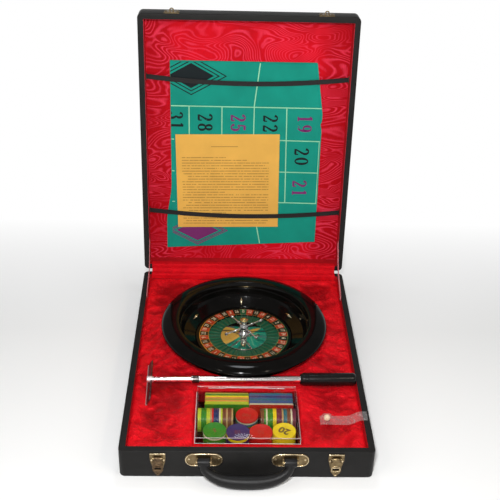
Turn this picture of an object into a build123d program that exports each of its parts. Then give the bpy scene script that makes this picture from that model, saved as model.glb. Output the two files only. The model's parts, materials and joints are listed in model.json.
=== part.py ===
"""Roulette set in a hinged carrying case, standing open. Millimetres, +Z up, front of the case towards -Y.

The origin is the centre of the base's underside. The lid, the latches, the handle and everything that the case
carries are separate pieces, each written to parts/NODE.step.
"""

import math
import os

from build123d import *

# ------------------------------------------------------------------ case: driving dimensions
left_room = 32.9  # between the lining and the wheel's rim
right_room = 35.9
rear_room = 28.4
front_room = 15.7  # between the lining and the chip box
middle_room = 12.7  # between the chip box and the wheel's rim
base_height = 49.0  # underside to rim
lid_height = 34.0  # rim to outside of the top
rim_gap = 1.0  # between the two rims when shut
lid_open_angle = 95.0  # where the ribbon stays hold the lid
corner_radius = 8.0  # upright outside corners
covering = 0.8  # leatherette
wall_board = 8.0  # plywood of the walls
panel_board = 4.0  # plywood of the bottom and the top
lining = 0.8  # cloth lining of the walls
panel_lining = 1.2  # card and moire cloth inside the lid's top
running_gap = 0.05  # radial clearance of a pin or a tube that turns or slides
soft_gap = 0.3  # clearance between a loose or soft piece and what carries it

# ------------------------------------------------------------------ padded insert of the base
pad_level = 40.0  # top of the satin pad above the underside
pad_thickness = 6.0
platform_board = 3.0  # card under the pad
batten_width = 10.0
well_card = 1.2  # lined card of the two wells
well_play = 1.5  # round the chip box in its well

# ------------------------------------------------------------------ hinges and stays
hinge_spacing = 220.0  # between the two hinges' middles
hinge_length = 46.0
hinge_knuckles = 5
hinge_knuckle_gap = 0.3
hinge_knuckle_radius = 2.5
hinge_pin_radius = 1.2
hinge_leaf = 1.2  # leaf thickness
hinge_leaf_height = 20.0
stay_width = 12.0
stay_thickness = 0.6
stay_base_reach = 82.0  # its lower end, along the base from the hinge pin
stay_base_drop = 3.0  # its lower end, under the rim
stay_lid_reach = 57.0  # its upper end, along the lid from the hinge pin
stay_lid_inset = 6.5  # its upper end, inside the lid's rim
seam_strip_length = 332.0  # lining strip over the hinge seam
seam_strip_thickness = 0.6
seam_strip_tail = 8.0  # how far it is glued down inside each half

# ------------------------------------------------------------------ latches and catches
latch_spacing = 250.0
latch_plate_width = 22.0
latch_plate_height = 27.0
latch_plate_drop = 3.2  # top edge under the rim
front_plate = 1.0  # thickness of latch, catch and handle plates
latch_pin_radius = 1.2
latch_pin_drop = 10.5  # pin under the rim
latch_knuckle_radius = 2.4
latch_knuckle_length = 9.4
latch_ear = 2.0  # width of each ear that holds the pin
latch_arm_width = 15.0
latch_arm = 1.6  # thickness
latch_arm_length = 32.0
latch_reach = 18.5  # pin to slot
latch_slot_width = 9.4
latch_slot_height = 3.6
catch_width = 25.0
catch_height = 20.0
staple_width = 7.4
staple_wire_radius = 1.0
staple_depth = 7.0  # stands out from the plate
rivet_radius = 1.7
rivet_height = 0.9
latch_rivet_drop = 12.6  # under the latch plate's top edge
latch_rivet_edge = 0.8  # between a rivet and the plate's edge
handle_rivet_edge = 4.0
catch_rivet_edge = 1.6

# ------------------------------------------------------------------ handle
handle_span = 121.0  # between the middles of the two end blocks
handle_reach = 31.3  # pin to the grip's centre line
handle_droop = 28.1  # degrees forward of straight down at rest
handle_pin_drop = 13.0  # pin under the rim
handle_pin_stand = 8.0  # pin in front of the covering
handle_pin_radius = 1.75
handle_leg_radius = 6.3
handle_grip_radius = 8.0
handle_grip_length = 72.0
handle_bend_radius = 24.0
handle_block_length = 17.0
handle_plate_width = 53.0
handle_plate_height = 24.0
handle_lug = 2.4  # thickness of each lug
handle_lug_height = 8.0
handle_lug_gap = 0.5  # beside the end block
eye_wall = 1.2

# ------------------------------------------------------------------ lid contents
cloth_thickness = 3.2  # four layers, folded
cloth_left = -130.0
cloth_right = 130.0
cloth_front = -146.5  # places along the lid, as the shut lid lies
cloth_back = 197.0
cloth_slant = 14.0  # how much the rear corner on the right falls short
cloth_step = 13.0  # set-back of the front right corner
sheet_width = 180.0
sheet_length = 176.0
sheet_thickness = 0.4
sheet_x = -31.0
sheet_y = 67.0
sheet_turn = -1.0  # degrees
strap_width = 8.0
strap_thickness = 1.0
strap_sag = 10.0
strap_front_y = -121.0
strap_back_y = 123.0
anchor_length = 12.0
anchor_height = 6.0
anchor_plate = 1.0

# ------------------------------------------------------------------ wheel bowl (radii, and heights above its foot)
bowl_radius = 136.0
bowl_foot_radius = 96.0
bowl_height = 63.5
bowl_edge_height = 57.0  # outer edge of the rim
bowl_edge_thickness = 3.5
bowl_crest_radius = 112.0
bowl_lip_radius = 107.0
bowl_track_radius = 103.0
bowl_apron_top = 38.0
bowl_apron_foot = 29.0
bowl_floor = 12.0
bowl_foot_width = 8.0
bowl_foot_recess = 6.0
bowl_shell = 4.0
bowl_track_rise = 9.0  # of the ball track over the apron
bowl_lip_drop = 5.0  # from the crest down to the lip's edge
bowl_rim_run = 8.0  # flat part of the crest, outwards
bowl_rim_fall = 0.6
bowl_side_round = 12.0
bowl_inner_round = 8.0
well_radius = 118.0  # of the round well in the pad
felt_thickness = 1.0
deflector_count = 6
deflector_start = 32.0  # degrees
deflector_circle = 91.5
deflector_length = 16.0
deflector_radius = 2.8
spindle_radius = 3.0
spindle_collar_radius = 6.5
spindle_collar = 2.0
spindle_head_radius = 9.0
spindle_head = 3.0

# ------------------------------------------------------------------ rotor (heights above the bowl's foot)
rotor_radius = 79.6
rotor_gap = 0.9  # beside the bowl's apron
rotor_skirt = 14.4  # lower edge
rotor_rim_top = 29.4
number_ring_outer = 77.4
number_ring_inner = 58.5
number_ring_top = 29.0
number_ring_thickness = 1.6
pocket_count = 37
pocket_inner = 38.5
pocket_floor = 25.4
fret_thickness = 0.7
fret_height = 3.2
fret_gap = 0.1  # at each end of a fret
rotor_web = 5.0
rotor_skirt_wall = 3.0
rotor_hub_radius = 12.0
bush_wall = 2.0
plate_slope = 8.0  # degrees, the polished centre plate's cone
plate_thickness = 1.4
plate_edge_top = 27.6
turret_foot_radius = 9.0
turret_height = 28.3
turret_neck_radius = 3.2
turret_head_radius = 5.5
turret_arm_level = 12.8  # above the turret's foot
turret_arm_count = 4
turret_arm_start = 34.0  # degrees
turret_arm_reach = 38.0
turret_arm_radius = 1.5
turret_bead_radius = 2.7
cap_radius = 6.6
cap_height = 3.6

# ------------------------------------------------------------------ rake
rake_left_room = 20.9  # between the lining and the blade
rake_right_room = 0.9  # between the grip's end and the lining
rake_forward = 1.5  # of the wheel's rim, at the blade
rake_blade_gap = 0.95  # over the pad
rake_rise = 13.5  # of the rod over the pad at the blade
rake_turn = 1.87  # degrees in plan
rake_pitch = 0.89  # degrees down towards the grip
rake_grip_length = 85.0
rake_grip_radius = 8.0
rake_tube_radius = 3.5
rake_tube_wall = 0.75
rake_tube_start = 66.0  # from the blade
rake_collar_radius = 4.3
rake_collar_length = 14.0
rake_rod_end = 175.0  # inner end of the rod, from the blade
rake_blade_length = 92.0
rake_blade_height = 23.0
rake_blade_thickness = 1.6
rake_blade_lean = 12.0  # degrees, towards the grip
rake_socket_radius = 4.2
rake_socket_length = 9.0

# ------------------------------------------------------------------ chip box
box_offset = 2.3  # right of the wheel's middle
box_width = 149.0
box_depth = 112.0
box_height = 40.4
box_bottom = 10.9  # above the underside of the case
box_wall = 2.0
box_divider = 1.4
box_lid_thickness = 1.6
box_lid_gap = 0.5
box_hinge_length = 24.0  # each of the two barrels on the lid's rear edge
box_hinge_spacing = 90.0
box_hinge_pin_radius = 0.6
box_hinge_pin_length = 1.2
box_hinge_gap = 0.3
chip_diameter = 35.4
chip_thickness = 2.6
chip_gap = 0.1
chip_play = 0.4
front_row_depth = 37.0
middle_row_depth = 36.6
flat_cell_width = 36.6
flat_stack_chips = 12
plaque_length = 66.0
plaque_height = 34.0
plaque_thickness = 3.3
plaque_count = 8  # in each of the two stacks

# ------------------------------------------------------------------ ball in its bag
ball_radius = 5.0
ball_from_lining = 52.4
ball_forward = 6.3  # of the chip box's middle
bag_width = 19.0
bag_film = 0.2
bag_rim_gap = 0.15  # over the rim
bag_start = 10.0  # left of the ball
bag_flat = 34.0  # right of the ball, lying on the pad
bag_end = 6.5  # on the rim

# ------------------------------------------------------------------ derived places
side_stack = covering + wall_board + lining
inner_half_width = (left_room + 2 * bowl_radius + right_room) / 2
inner_half_depth = (front_room + box_depth + middle_room + 2 * bowl_radius + rear_room) / 2
half_width = inner_half_width + side_stack
half_depth = inner_half_depth + side_stack
case_width = 2 * half_width
case_depth = 2 * half_depth
wheel_x = left_room + bowl_radius - inner_half_width
wheel_y = inner_half_depth - rear_room - bowl_radius
box_x = wheel_x + box_offset
box_y = front_room + box_depth / 2 - inner_half_depth
ball_x = inner_half_width - ball_from_lining
ball_y = box_y - ball_forward
rake_blade_x = rake_left_room - inner_half_width
rake_blade_y = wheel_y - bowl_radius - rake_forward
rake_length = 2 * inner_half_width - rake_left_room - rake_right_room
bottom_top = covering + panel_board
rim_under = base_height - covering
hinge_y = half_depth + hinge_knuckle_radius
hinge_z = base_height + rim_gap / 2
lid_rim = base_height + rim_gap
lid_top = lid_rim + lid_height
lid_board_under = lid_top - covering - panel_board
lid_panel_face = lid_board_under - panel_lining
cloth_under = lid_panel_face - soft_gap - cloth_thickness
sheet_under = cloth_under - soft_gap - sheet_thickness
strap_under = sheet_under - soft_gap - strap_thickness
wheel_foot = bottom_top + well_card + felt_thickness
front_face = -half_depth
plate_face = front_face - front_plate
latch_z = base_height - latch_pin_drop
latch_y = plate_face - latch_knuckle_radius - 0.2
catch_hole_z = latch_z + latch_reach
handle_z = base_height - handle_pin_drop
handle_y = front_face - handle_pin_stand
batten_top = pad_level - pad_thickness - platform_board
box_left = box_x - box_width / 2
box_front = box_y - box_depth / 2
box_back = box_y + box_depth / 2
box_top = box_bottom + box_height
tray_top = box_top - box_lid_thickness - box_lid_gap
box_floor = box_bottom + box_wall
plate_hole_radius = spindle_radius + 0.5
plate_rise = (pocket_inner - plate_hole_radius) * math.tan(math.radians(plate_slope))
box_hinge_radius = box_wall / 2
box_hinge_y = box_back - box_hinge_radius
box_hinge_z = tray_top - box_hinge_radius
chip_seat = box_floor + chip_gap

WHEEL = Pos(wheel_x, wheel_y, wheel_foot)
RAKE = Pos(rake_blade_x, rake_blade_y, pad_level + rake_rise) * Rot(0, rake_pitch, rake_turn)
LID_OPEN = Pos(0, hinge_y, hinge_z) * Rot(-lid_open_angle, 0, 0) * Pos(0, -hinge_y, -hinge_z)


# ------------------------------------------------------------------ small helpers
def block(x0, x1, y0, y1, z0, z1):
    """Box between two corners."""
    return Pos((x0 + x1) / 2, (y0 + y1) / 2, (z0 + z1) / 2) * Box(x1 - x0, y1 - y0, z1 - z0)


def slab(width, depth, radius, z0, z1):
    """Rounded rectangle centred on the origin, between two heights."""
    return Pos(0, 0, z0) * extrude(RectangleRounded(width, depth, radius), amount=z1 - z0)


def drum(radius, z0, z1, inner=0.0):
    """Upright cylinder or tube between two heights."""
    body = Pos(0, 0, (z0 + z1) / 2) * Cylinder(radius, z1 - z0)
    if inner > 0:
        body -= Pos(0, 0, (z0 + z1) / 2) * Cylinder(inner, z1 - z0 + 2)
    return body


def bar_x(radius, x0, x1, y, z, inner=0.0):
    """Round bar or tube along X."""
    body = Pos((x0 + x1) / 2, y, z) * Rot(0, 90, 0) * Cylinder(radius, x1 - x0)
    if inner > 0:
        body -= Pos((x0 + x1) / 2, y, z) * Rot(0, 90, 0) * Cylinder(inner, x1 - x0 + 2)
    return body


def turned(points):
    """Solid of revolution about Z from a closed outline of (radius, height) points."""
    outline = make_face(Polyline(*[(r, 0, z) for r, z in points], close=True))
    return revolve(outline, Axis.Z)


def turned_rounded(points, radii):
    """As turned, with a fillet radius at each point of the outline."""
    line = FilletPolyline(*[(r, 0, z) for r, z in points], radius=radii, close=True)
    return revolve(make_face(line), Axis.Z)


def group(*shapes):
    """One node from several separate solids."""
    solids = []
    for shape in shapes:
        solids.extend(shape.solids())
    return solids[0] if len(solids) == 1 else Compound(children=solids)


def placed(location, shape):
    """Shape of one or more solids, moved to a location."""
    return group(*[location * solid for solid in shape.solids()])


def both_sides(maker, spacing):
    """Two copies of a piece, left and right of the middle."""
    return [Pos(side * spacing / 2, 0, 0) * maker() for side in (-1, 1)]


# ------------------------------------------------------------------ case shells
def wall_boards(z0, z1):
    """Front, rear and the two side boards of one half of the case."""
    frame = slab(case_width - 2 * covering, case_depth - 2 * covering, corner_radius - covering, z0, z1)
    board_x = half_width - covering - wall_board
    board_y = half_depth - covering - wall_board
    frame -= block(-board_x, board_x, -board_y, board_y, z0 - 1, z1 + 1)
    front = frame & block(-case_width, case_width, -case_depth, -board_y, z0, z1)
    rear = frame & block(-case_width, case_width, board_y, case_depth, z0, z1)
    sides = frame & block(-case_width, case_width, -board_y, board_y, z0, z1)
    return front, rear, sides


def leatherette(z0, z1, rim_low, rim_high):
    """Outside skin between two heights, turned in over the rim."""
    skin = slab(case_width, case_depth, corner_radius, z0, z1)
    skin -= slab(case_width - 2 * covering, case_depth - 2 * covering, corner_radius - covering, z0 - 1, z1 + 1)
    rim = slab(case_width, case_depth, corner_radius, rim_low, rim_high)
    rim -= block(-inner_half_width, inner_half_width, -inner_half_depth, inner_half_depth, rim_low - 1, rim_high + 1)
    return skin + rim


def wall_lining(z0, z1):
    """Thin cloth frame on the inside of the boards."""
    out_x = inner_half_width + lining
    out_y = inner_half_depth + lining
    frame = block(-out_x, out_x, -out_y, out_y, z0, z1)
    return frame - block(-inner_half_width, inner_half_width, -inner_half_depth, inner_half_depth, z0 - 1, z1 + 1)


def flat_panel(inset, z0, z1):
    """Panel with the case's outline, set in from its outside."""
    return slab(case_width - 2 * inset, case_depth - 2 * inset, corner_radius - inset, z0, z1)


def base_shell():
    """Boards, leatherette and lining of the base."""
    front, rear, sides = wall_boards(bottom_top, rim_under)
    return {
        "base_front_wall": front,
        "base_rear_wall": rear,
        "base_side_walls": sides,
        "base_bottom_board": flat_panel(covering, covering, bottom_top),
        "base_bottom_covering": flat_panel(covering, 0, covering),
        "base_wall_covering": leatherette(0, base_height, rim_under, base_height),
        "base_wall_lining": wall_lining(bottom_top, rim_under),
    }


def lid_shell():
    """Boards, leatherette and linings of the lid, as it lies shut."""
    front, rear, sides = wall_boards(lid_rim + covering, lid_board_under)
    moire = block(
        -inner_half_width, inner_half_width, -inner_half_depth, inner_half_depth, lid_panel_face, lid_board_under
    )
    return {
        "lid_front_wall": front,
        "lid_rear_wall": rear,
        "lid_side_walls": sides,
        "lid_top_board": flat_panel(covering, lid_board_under, lid_top - covering),
        "lid_top_covering": flat_panel(covering, lid_top - covering, lid_top),
        "lid_wall_covering": leatherette(lid_rim, lid_top, lid_rim, lid_rim + covering),
        "lid_wall_lining": wall_lining(lid_rim + covering, lid_board_under),
        "lid_panel_lining": moire,
    }


# ------------------------------------------------------------------ padded insert
def chip_well(play, z0, z1):
    """Block of the chip box's plan, larger by a play all round."""
    return block(box_left - play, box_left + box_width + play, box_front - play, box_back + play, z0, z1)


def insert_sheet(z0, z1):
    """Layer of the insert, with its round and its square hole."""
    sheet = block(-inner_half_width, inner_half_width, -inner_half_depth, inner_half_depth, z0, z1)
    sheet -= Pos(wheel_x, wheel_y, 0) * drum(well_radius, z0 - 1, z1 + 1)
    return sheet - chip_well(well_play + well_card, z0 - 1, z1 + 1)


def padded_insert():
    """Battens, card platform, satin pad and the lined wells for wheel and chip box."""
    platform_under = batten_top
    pad_under = pad_level - pad_thickness
    frame = block(
        -inner_half_width, inner_half_width, -inner_half_depth, inner_half_depth, bottom_top, platform_under
    )
    free_x = inner_half_width - batten_width
    free_y = inner_half_depth - batten_width
    frame -= block(-free_x, free_x, -free_y, free_y, bottom_top - 1, platform_under + 1)
    long_battens = frame & block(-case_width, -free_x, -case_depth, case_depth, bottom_top, platform_under)
    long_battens += frame & block(free_x, case_width, -case_depth, case_depth, bottom_top, platform_under)
    cross_battens = frame & block(-free_x, free_x, -case_depth, case_depth, bottom_top, platform_under)
    round_well = drum(well_radius, bottom_top, pad_level, well_radius - well_card)
    round_well += drum(well_radius - well_card, bottom_top, bottom_top + well_card)
    tray_floor = box_bottom - soft_gap
    square_well = chip_well(well_play + well_card, tray_floor - well_card, pad_level)
    square_well -= chip_well(well_play, tray_floor, pad_level + 1)
    return {
        "platform_battens": group(long_battens, cross_battens),
        "platform_board": insert_sheet(platform_under, pad_under),
        "base_floor_pad": insert_sheet(pad_under, pad_level),
        "well_linings": group(Pos(wheel_x, wheel_y, 0) * round_well, square_well),
    }


# ------------------------------------------------------------------ hinges, stays and seam strip
def knuckle_span(index):
    """Left and right end of one hinge knuckle, measured from the hinge's middle."""
    pitch = hinge_length / hinge_knuckles
    start = -hinge_length / 2 + index * pitch
    return start + hinge_knuckle_gap / 2, start + pitch - hinge_knuckle_gap / 2


def hinge_half(first, bore, upward):
    """Leaf with its knuckles: every second knuckle, from the first one given."""
    top = hinge_z + (hinge_leaf_height if upward else 0)
    low = hinge_z - (0 if upward else hinge_leaf_height)
    leaf = block(-hinge_length / 2, hinge_length / 2, half_depth, half_depth + hinge_leaf, low, top)
    for index in range(hinge_knuckles):
        x0, x1 = knuckle_span(index)
        if index % 2 == first:
            leaf += bar_x(hinge_knuckle_radius, x0, x1, hinge_y, hinge_z)
        else:
            room = hinge_knuckle_radius + hinge_knuckle_gap
            ends = hinge_knuckle_gap
            leaf -= block(x0 - ends, x1 + ends, half_depth - 1, hinge_y + room, hinge_z - room, hinge_z + room)
    return leaf - bar_x(bore, -hinge_length, hinge_length, hinge_y, hinge_z)


def hinges():
    """Base leaves, lid leaves (as shut) and pins."""
    pin_length = hinge_length / 2
    return {
        "hinge_base_leaves": group(*both_sides(lambda: hinge_half(0, hinge_pin_radius, False), hinge_spacing)),
        "hinge_lid_leaves": group(
            *both_sides(lambda: hinge_half(1, hinge_pin_radius + running_gap, True), hinge_spacing)
        ),
        "hinge_pins": group(
            *both_sides(lambda: bar_x(hinge_pin_radius, -pin_length, pin_length, hinge_y, hinge_z), hinge_spacing)
        ),
    }


def on_open_lid(y, z):
    """Where a point (y, z) of the shut lid lies when the lid stands open."""
    place = LID_OPEN * Pos(0, y, z)
    return place.position.Y, place.position.Z


def stay_ribbons():
    """The two ribbons that hold the lid back, straight between base and lid."""
    low_y = hinge_y - stay_base_reach
    low_z = base_height - stay_base_drop
    high_y, high_z = on_open_lid(hinge_y - stay_lid_reach, lid_rim + stay_lid_inset)
    length = math.hypot(high_y - low_y, high_z - low_z)
    slope = math.degrees(math.atan2(high_y - low_y, high_z - low_z))
    ribbons = []
    for side in (-1, 1):
        x = side * (inner_half_width - soft_gap - stay_thickness / 2)
        place = Pos(x, (low_y + high_y) / 2, (low_z + high_z) / 2) * Rot(-slope, 0, 0)
        ribbons.append(place * Box(stay_thickness, stay_width, length))
    return group(*ribbons)


def seam_strip():
    """Lining strip from inside the base, over both rims, to inside the lid."""
    off = soft_gap + seam_strip_thickness / 2
    wall_y = inner_half_depth - off
    bend = hinge_knuckle_radius + 2 * off
    halfway = math.radians(180 - lid_open_angle / 2)
    points = [
        (wall_y, rim_under - seam_strip_tail),
        (wall_y, base_height + off),
        (hinge_y - bend, base_height + off),
        (hinge_y + bend * math.cos(halfway), hinge_z + bend * math.sin(halfway)),
        on_open_lid(hinge_y - bend, lid_rim - off),
        on_open_lid(wall_y, lid_rim - off),
        on_open_lid(wall_y, lid_rim + seam_strip_tail),
    ]
    profile = trace(Polyline(*points), line_width=seam_strip_thickness)
    return Pos(-seam_strip_length / 2, 0, 0) * extrude(Plane.YZ * profile, amount=seam_strip_length)


# ------------------------------------------------------------------ latches, catches and rivets
def front_plate_from(outline):
    """Extrudes an outline drawn in X and Z into a plate on the case's front face."""
    face = make_face(Polyline(*[(x, 0, z) for x, z in outline], close=True))
    return Pos(0, front_face, 0) * extrude(face, amount=front_plate, dir=(0, -1, 0))


def latch_plate():
    """Shield-shaped plate with two ears for the lever's pin."""
    top = base_height - latch_plate_drop
    low = top - latch_plate_height
    wide = latch_plate_width / 2
    shoulder = top - latch_plate_height * 0.45
    tip = latch_arm_width / 2
    plate = front_plate_from([(-wide, top), (wide, top), (wide, shoulder), (tip, low), (-tip, low), (-wide, shoulder)])
    inner = latch_knuckle_length / 2 + 0.3
    room = latch_knuckle_radius
    for side in (-1, 1):
        x0, x1 = sorted((side * inner, side * (inner + latch_ear)))
        plate += block(x0, x1, latch_y, plate_face, latch_z - room, latch_z + room)
        plate += bar_x(room, x0, x1, latch_y, latch_z)
    return plate - bar_x(latch_pin_radius, -wide, wide, latch_y, latch_z)


def latch_lever():
    """Lever that hangs from its pin, with a slot for the lid's staple and a pointed finger tip."""
    half = latch_arm_width / 2
    neck = latch_knuckle_length / 2
    shoulder = latch_z - latch_knuckle_radius - 2.0
    waist = latch_z - latch_reach - latch_slot_height
    outline = [(-neck, latch_z), (neck, latch_z), (neck, shoulder + 1), (half, shoulder - 2), (half, waist)]
    outline += [(1.2, latch_z - latch_arm_length), (-1.2, latch_z - latch_arm_length)]
    outline += [(-half, waist), (-half, shoulder - 2), (-neck, shoulder + 1)]
    face = make_face(Polyline(*[(x, 0, z) for x, z in outline], close=True))
    arm = Pos(0, latch_y + latch_arm / 2, 0) * extrude(face, amount=latch_arm, dir=(0, -1, 0))
    arm += bar_x(latch_knuckle_radius, -neck, neck, latch_y, latch_z)
    slot_z = latch_z - latch_reach
    slot = Box(latch_slot_width, 4 * latch_arm, latch_slot_height)
    slot = fillet(slot.edges().filter_by(Axis.Y), latch_slot_height * 0.45)
    arm -= Pos(0, latch_y, slot_z) * slot
    return arm - bar_x(latch_pin_radius + running_gap, -half, half, latch_y, latch_z)


def lid_catch():
    """Plate on the lid's front face with the staple that the latch lever drops over."""
    low = lid_rim + covering + 0.6
    wide = catch_width / 2
    chamfer_by = 4.0
    outline = [(-wide, low), (wide, low), (wide, low + catch_height - chamfer_by)]
    outline += [(wide - chamfer_by, low + catch_height), (chamfer_by - wide, low + catch_height)]
    outline += [(-wide, low + catch_height - chamfer_by)]
    plate = front_plate_from(outline)
    leg = staple_width / 2 - staple_wire_radius
    end = plate_face - staple_depth + staple_wire_radius
    start = plate_face + front_plate / 2
    line = FilletPolyline((-leg, start, 0), (-leg, end, 0), (leg, end, 0), (leg, start, 0), radius=leg * 0.9)
    section = Plane(origin=line @ 0, z_dir=line % 0) * Circle(staple_wire_radius)
    return plate + Pos(0, 0, catch_hole_z) * sweep(section, path=line)


def rivet_front(x, y, z):
    """Low domed rivet head on a front plate."""
    head = Cylinder(rivet_radius, rivet_height)
    head = fillet(head.faces().sort_by(Axis.Z)[-1].edges(), rivet_height * 0.6)
    return Pos(x, y, z) * Rot(90, 0, 0) * Pos(0, 0, rivet_height / 2) * head


def rivet_rear(x, z):
    """Low domed rivet head on a hinge leaf."""
    return Pos(x, half_depth + hinge_leaf, z) * Rot(180, 0, 0) * rivet_front(0, 0, 0)


def rivets():
    """Rivet heads of the base and of the lid (as shut)."""
    base_heads = []
    lid_heads = []
    for side in (-1, 1):
        latch_x = side * latch_spacing / 2
        handle_x = side * handle_span / 2
        hinge_x = side * hinge_spacing / 2
        for half in (-1, 1):
            edge = latch_plate_width / 2 - rivet_radius - latch_rivet_edge
            base_heads.append(rivet_front(latch_x + half * edge, plate_face, base_height - latch_plate_drop - latch_rivet_drop))
            reach = handle_plate_width / 2 - rivet_radius - handle_rivet_edge
            base_heads.append(rivet_front(handle_x + half * reach, plate_face, handle_z))
            corner = catch_width / 2 - rivet_radius - catch_rivet_edge
            lid_heads.append(rivet_front(latch_x + half * corner, plate_face, lid_rim + catch_height * 0.6))
        for step in (-1, 0, 1):
            x = hinge_x + step * hinge_length / 3
            base_heads.append(rivet_rear(x, hinge_z - hinge_leaf_height * 0.65))
            lid_heads.append(rivet_rear(x, hinge_z + hinge_leaf_height * 0.65))
    return group(*base_heads), group(*lid_heads)


def latches():
    """Latch plates with their pins, the two levers and the lid's catches."""
    pin_half = latch_knuckle_length / 2 + 0.3 + latch_ear
    pins = both_sides(lambda: bar_x(latch_pin_radius, -pin_half, pin_half, latch_y, latch_z), latch_spacing)
    left, right = both_sides(latch_lever, latch_spacing)
    return {
        "latch_plates": group(*both_sides(latch_plate, latch_spacing)),
        "latch_pins": group(*pins),
        "latch_lever_left": left,
        "latch_lever_right": right,
        "lid_catches": group(*both_sides(lid_catch, latch_spacing)),
    }


# ------------------------------------------------------------------ handle
def handle_plate():
    """Long rounded plate with two lugs that hold the handle's pin."""
    middle = handle_z - 2.0
    plate = extrude(SlotOverall(handle_plate_width, handle_plate_height), amount=front_plate)
    plate = Pos(0, front_face, middle) * Rot(90, 0, 0) * plate
    inner = handle_block_length / 2 + handle_lug_gap
    for side in (-1, 1):
        x0, x1 = sorted((side * inner, side * (inner + handle_lug)))
        plate += block(x0, x1, handle_y, plate_face, handle_z - handle_lug_height / 2, handle_z + handle_lug_height / 2)
        plate += bar_x(handle_lug_height / 2, x0, x1, handle_y, handle_z)
    return plate - bar_x(handle_pin_radius, -handle_plate_width, handle_plate_width, handle_y, handle_z)


def handle_parts():
    """Grip with its two legs and end blocks, the metal eyes in them, the pins and the plates."""
    half_span = handle_span / 2
    place = Pos(0, handle_y, handle_z) * Rot(-handle_droop, 0, 0)
    line = FilletPolyline(
        (-half_span, 0, 0),
        (-half_span, 0, -handle_reach),
        (half_span, 0, -handle_reach),
        (half_span, 0, 0),
        radius=handle_bend_radius,
    )
    section = Plane(origin=line @ 0, z_dir=line % 0) * Circle(handle_leg_radius)
    grip = sweep(section, path=line)
    swell = Rot(0, 90, 0) * Cylinder(handle_grip_radius, handle_grip_length)
    swell = fillet(swell.edges().filter_by(GeomType.CIRCLE), handle_grip_radius * 0.3)
    grip += Pos(0, 0, -handle_reach) * swell
    eye_radius = handle_pin_radius + running_gap + eye_wall
    eyes = []
    pins = []
    pin_half = handle_block_length / 2 + handle_lug_gap + handle_lug
    for side in (-1, 1):
        x0 = side * half_span - handle_block_length / 2
        x1 = side * half_span + handle_block_length / 2
        grip += bar_x(handle_leg_radius, x0, x1, 0, 0)
        grip -= bar_x(eye_radius, x0 - 1, x1 + 1, 0, 0)
        eyes.append(bar_x(eye_radius, x0, x1, 0, 0, handle_pin_radius + running_gap))
        pins.append(
            bar_x(handle_pin_radius, side * half_span - pin_half, side * half_span + pin_half, handle_y, handle_z)
        )
    return {
        "handle_grip": place * grip,
        "handle_eyes": group(*[place * eye for eye in eyes]),
        "handle_pins": group(*pins),
        "handle_plates": group(*both_sides(handle_plate, handle_span)),
    }


# ------------------------------------------------------------------ lid contents
def layout_cloth():
    """Folded layout cloth, lying on the lid's lining (as shut)."""
    corner = cloth_right - cloth_step
    outline = [
        (cloth_left, cloth_front),
        (corner, cloth_front),
        (cloth_right, cloth_front + 7 * cloth_step),
        (cloth_right, cloth_back - cloth_slant),
        (cloth_left, cloth_back),
    ]
    face = make_face(Polyline(*outline, close=True))
    return Pos(0, 0, cloth_under) * extrude(face, amount=cloth_thickness)


def rules_sheet():
    """Thin paper sheet under the straps (as shut)."""
    return Pos(sheet_x, sheet_y, sheet_under + sheet_thickness / 2) * Rot(0, 0, sheet_turn) * Box(
        sheet_width, sheet_length, sheet_thickness
    )


def strap(y):
    """Elastic strap across the lid, sagging a little towards the hinge."""
    end = inner_half_width - anchor_plate
    half = strap_width / 2
    front = ThreePointArc((-end, y - half), (0, y - half + strap_sag), (end, y - half))
    right = Line((end, y - half), (end, y + half))
    back = ThreePointArc((end, y + half), (0, y + half + strap_sag), (-end, y + half))
    left = Line((-end, y + half), (-end, y - half))
    face = make_face([front, right, back, left])
    return Pos(0, 0, strap_under) * extrude(face, amount=strap_thickness)


def strap_anchors():
    """Small plates on the side lining that clamp the straps' ends."""
    plates = []
    middle = strap_under + strap_thickness / 2
    for y in (strap_front_y, strap_back_y):
        for side in (-1, 1):
            x0, x1 = sorted((side * (inner_half_width - anchor_plate), side * inner_half_width))
            z0 = middle - anchor_height / 2
            plates.append(
                block(x0, x1, y - anchor_length / 2, y + anchor_length / 2, z0, z0 + anchor_height)
            )
    return group(*plates)


# ------------------------------------------------------------------ wheel
def wheel_bowl():
    """Moulded bowl: crowned rim, ball track, sloping apron and the well that the rotor turns in."""
    well = rotor_radius + rotor_gap
    foot_inner = bowl_foot_radius - bowl_foot_width
    rim_under_radius = bowl_crest_radius + bowl_shell
    outline = [
        (spindle_radius, bowl_floor),
        (well, bowl_floor),
        (well, bowl_apron_foot),
        (bowl_track_radius - 2, bowl_apron_top),
        (bowl_track_radius + 1, bowl_apron_top + bowl_track_rise),
        (bowl_lip_radius, bowl_height - bowl_lip_drop),
        (bowl_crest_radius - 1, bowl_height),
        (bowl_crest_radius + bowl_rim_run, bowl_height - bowl_rim_fall),
        (bowl_radius, bowl_edge_height),
        (bowl_radius, bowl_edge_height - bowl_edge_thickness),
        (rim_under_radius + bowl_rim_run, bowl_edge_height - bowl_edge_thickness - bowl_lip_drop),
        (rim_under_radius - 2, bowl_apron_top),
        (bowl_foot_radius + 4, bowl_foot_recess * 2),
        (bowl_foot_radius, 0),
        (foot_inner, 0),
        (foot_inner - 2, bowl_foot_recess),
        (spindle_radius, bowl_foot_recess),
    ]
    edge = bowl_edge_thickness * 0.35
    side = bowl_side_round
    inner = bowl_inner_round
    radii = [0, 1, 1, 3, inner, inner * 0.75, 3, side, edge, edge, inner, side, inner, 1, 1, 1, 0]
    return turned_rounded(outline, radii)


def felt_ring():
    """Felt under the bowl's foot."""
    return drum(bowl_foot_radius, -felt_thickness, 0, bowl_foot_radius - bowl_foot_width)


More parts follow.
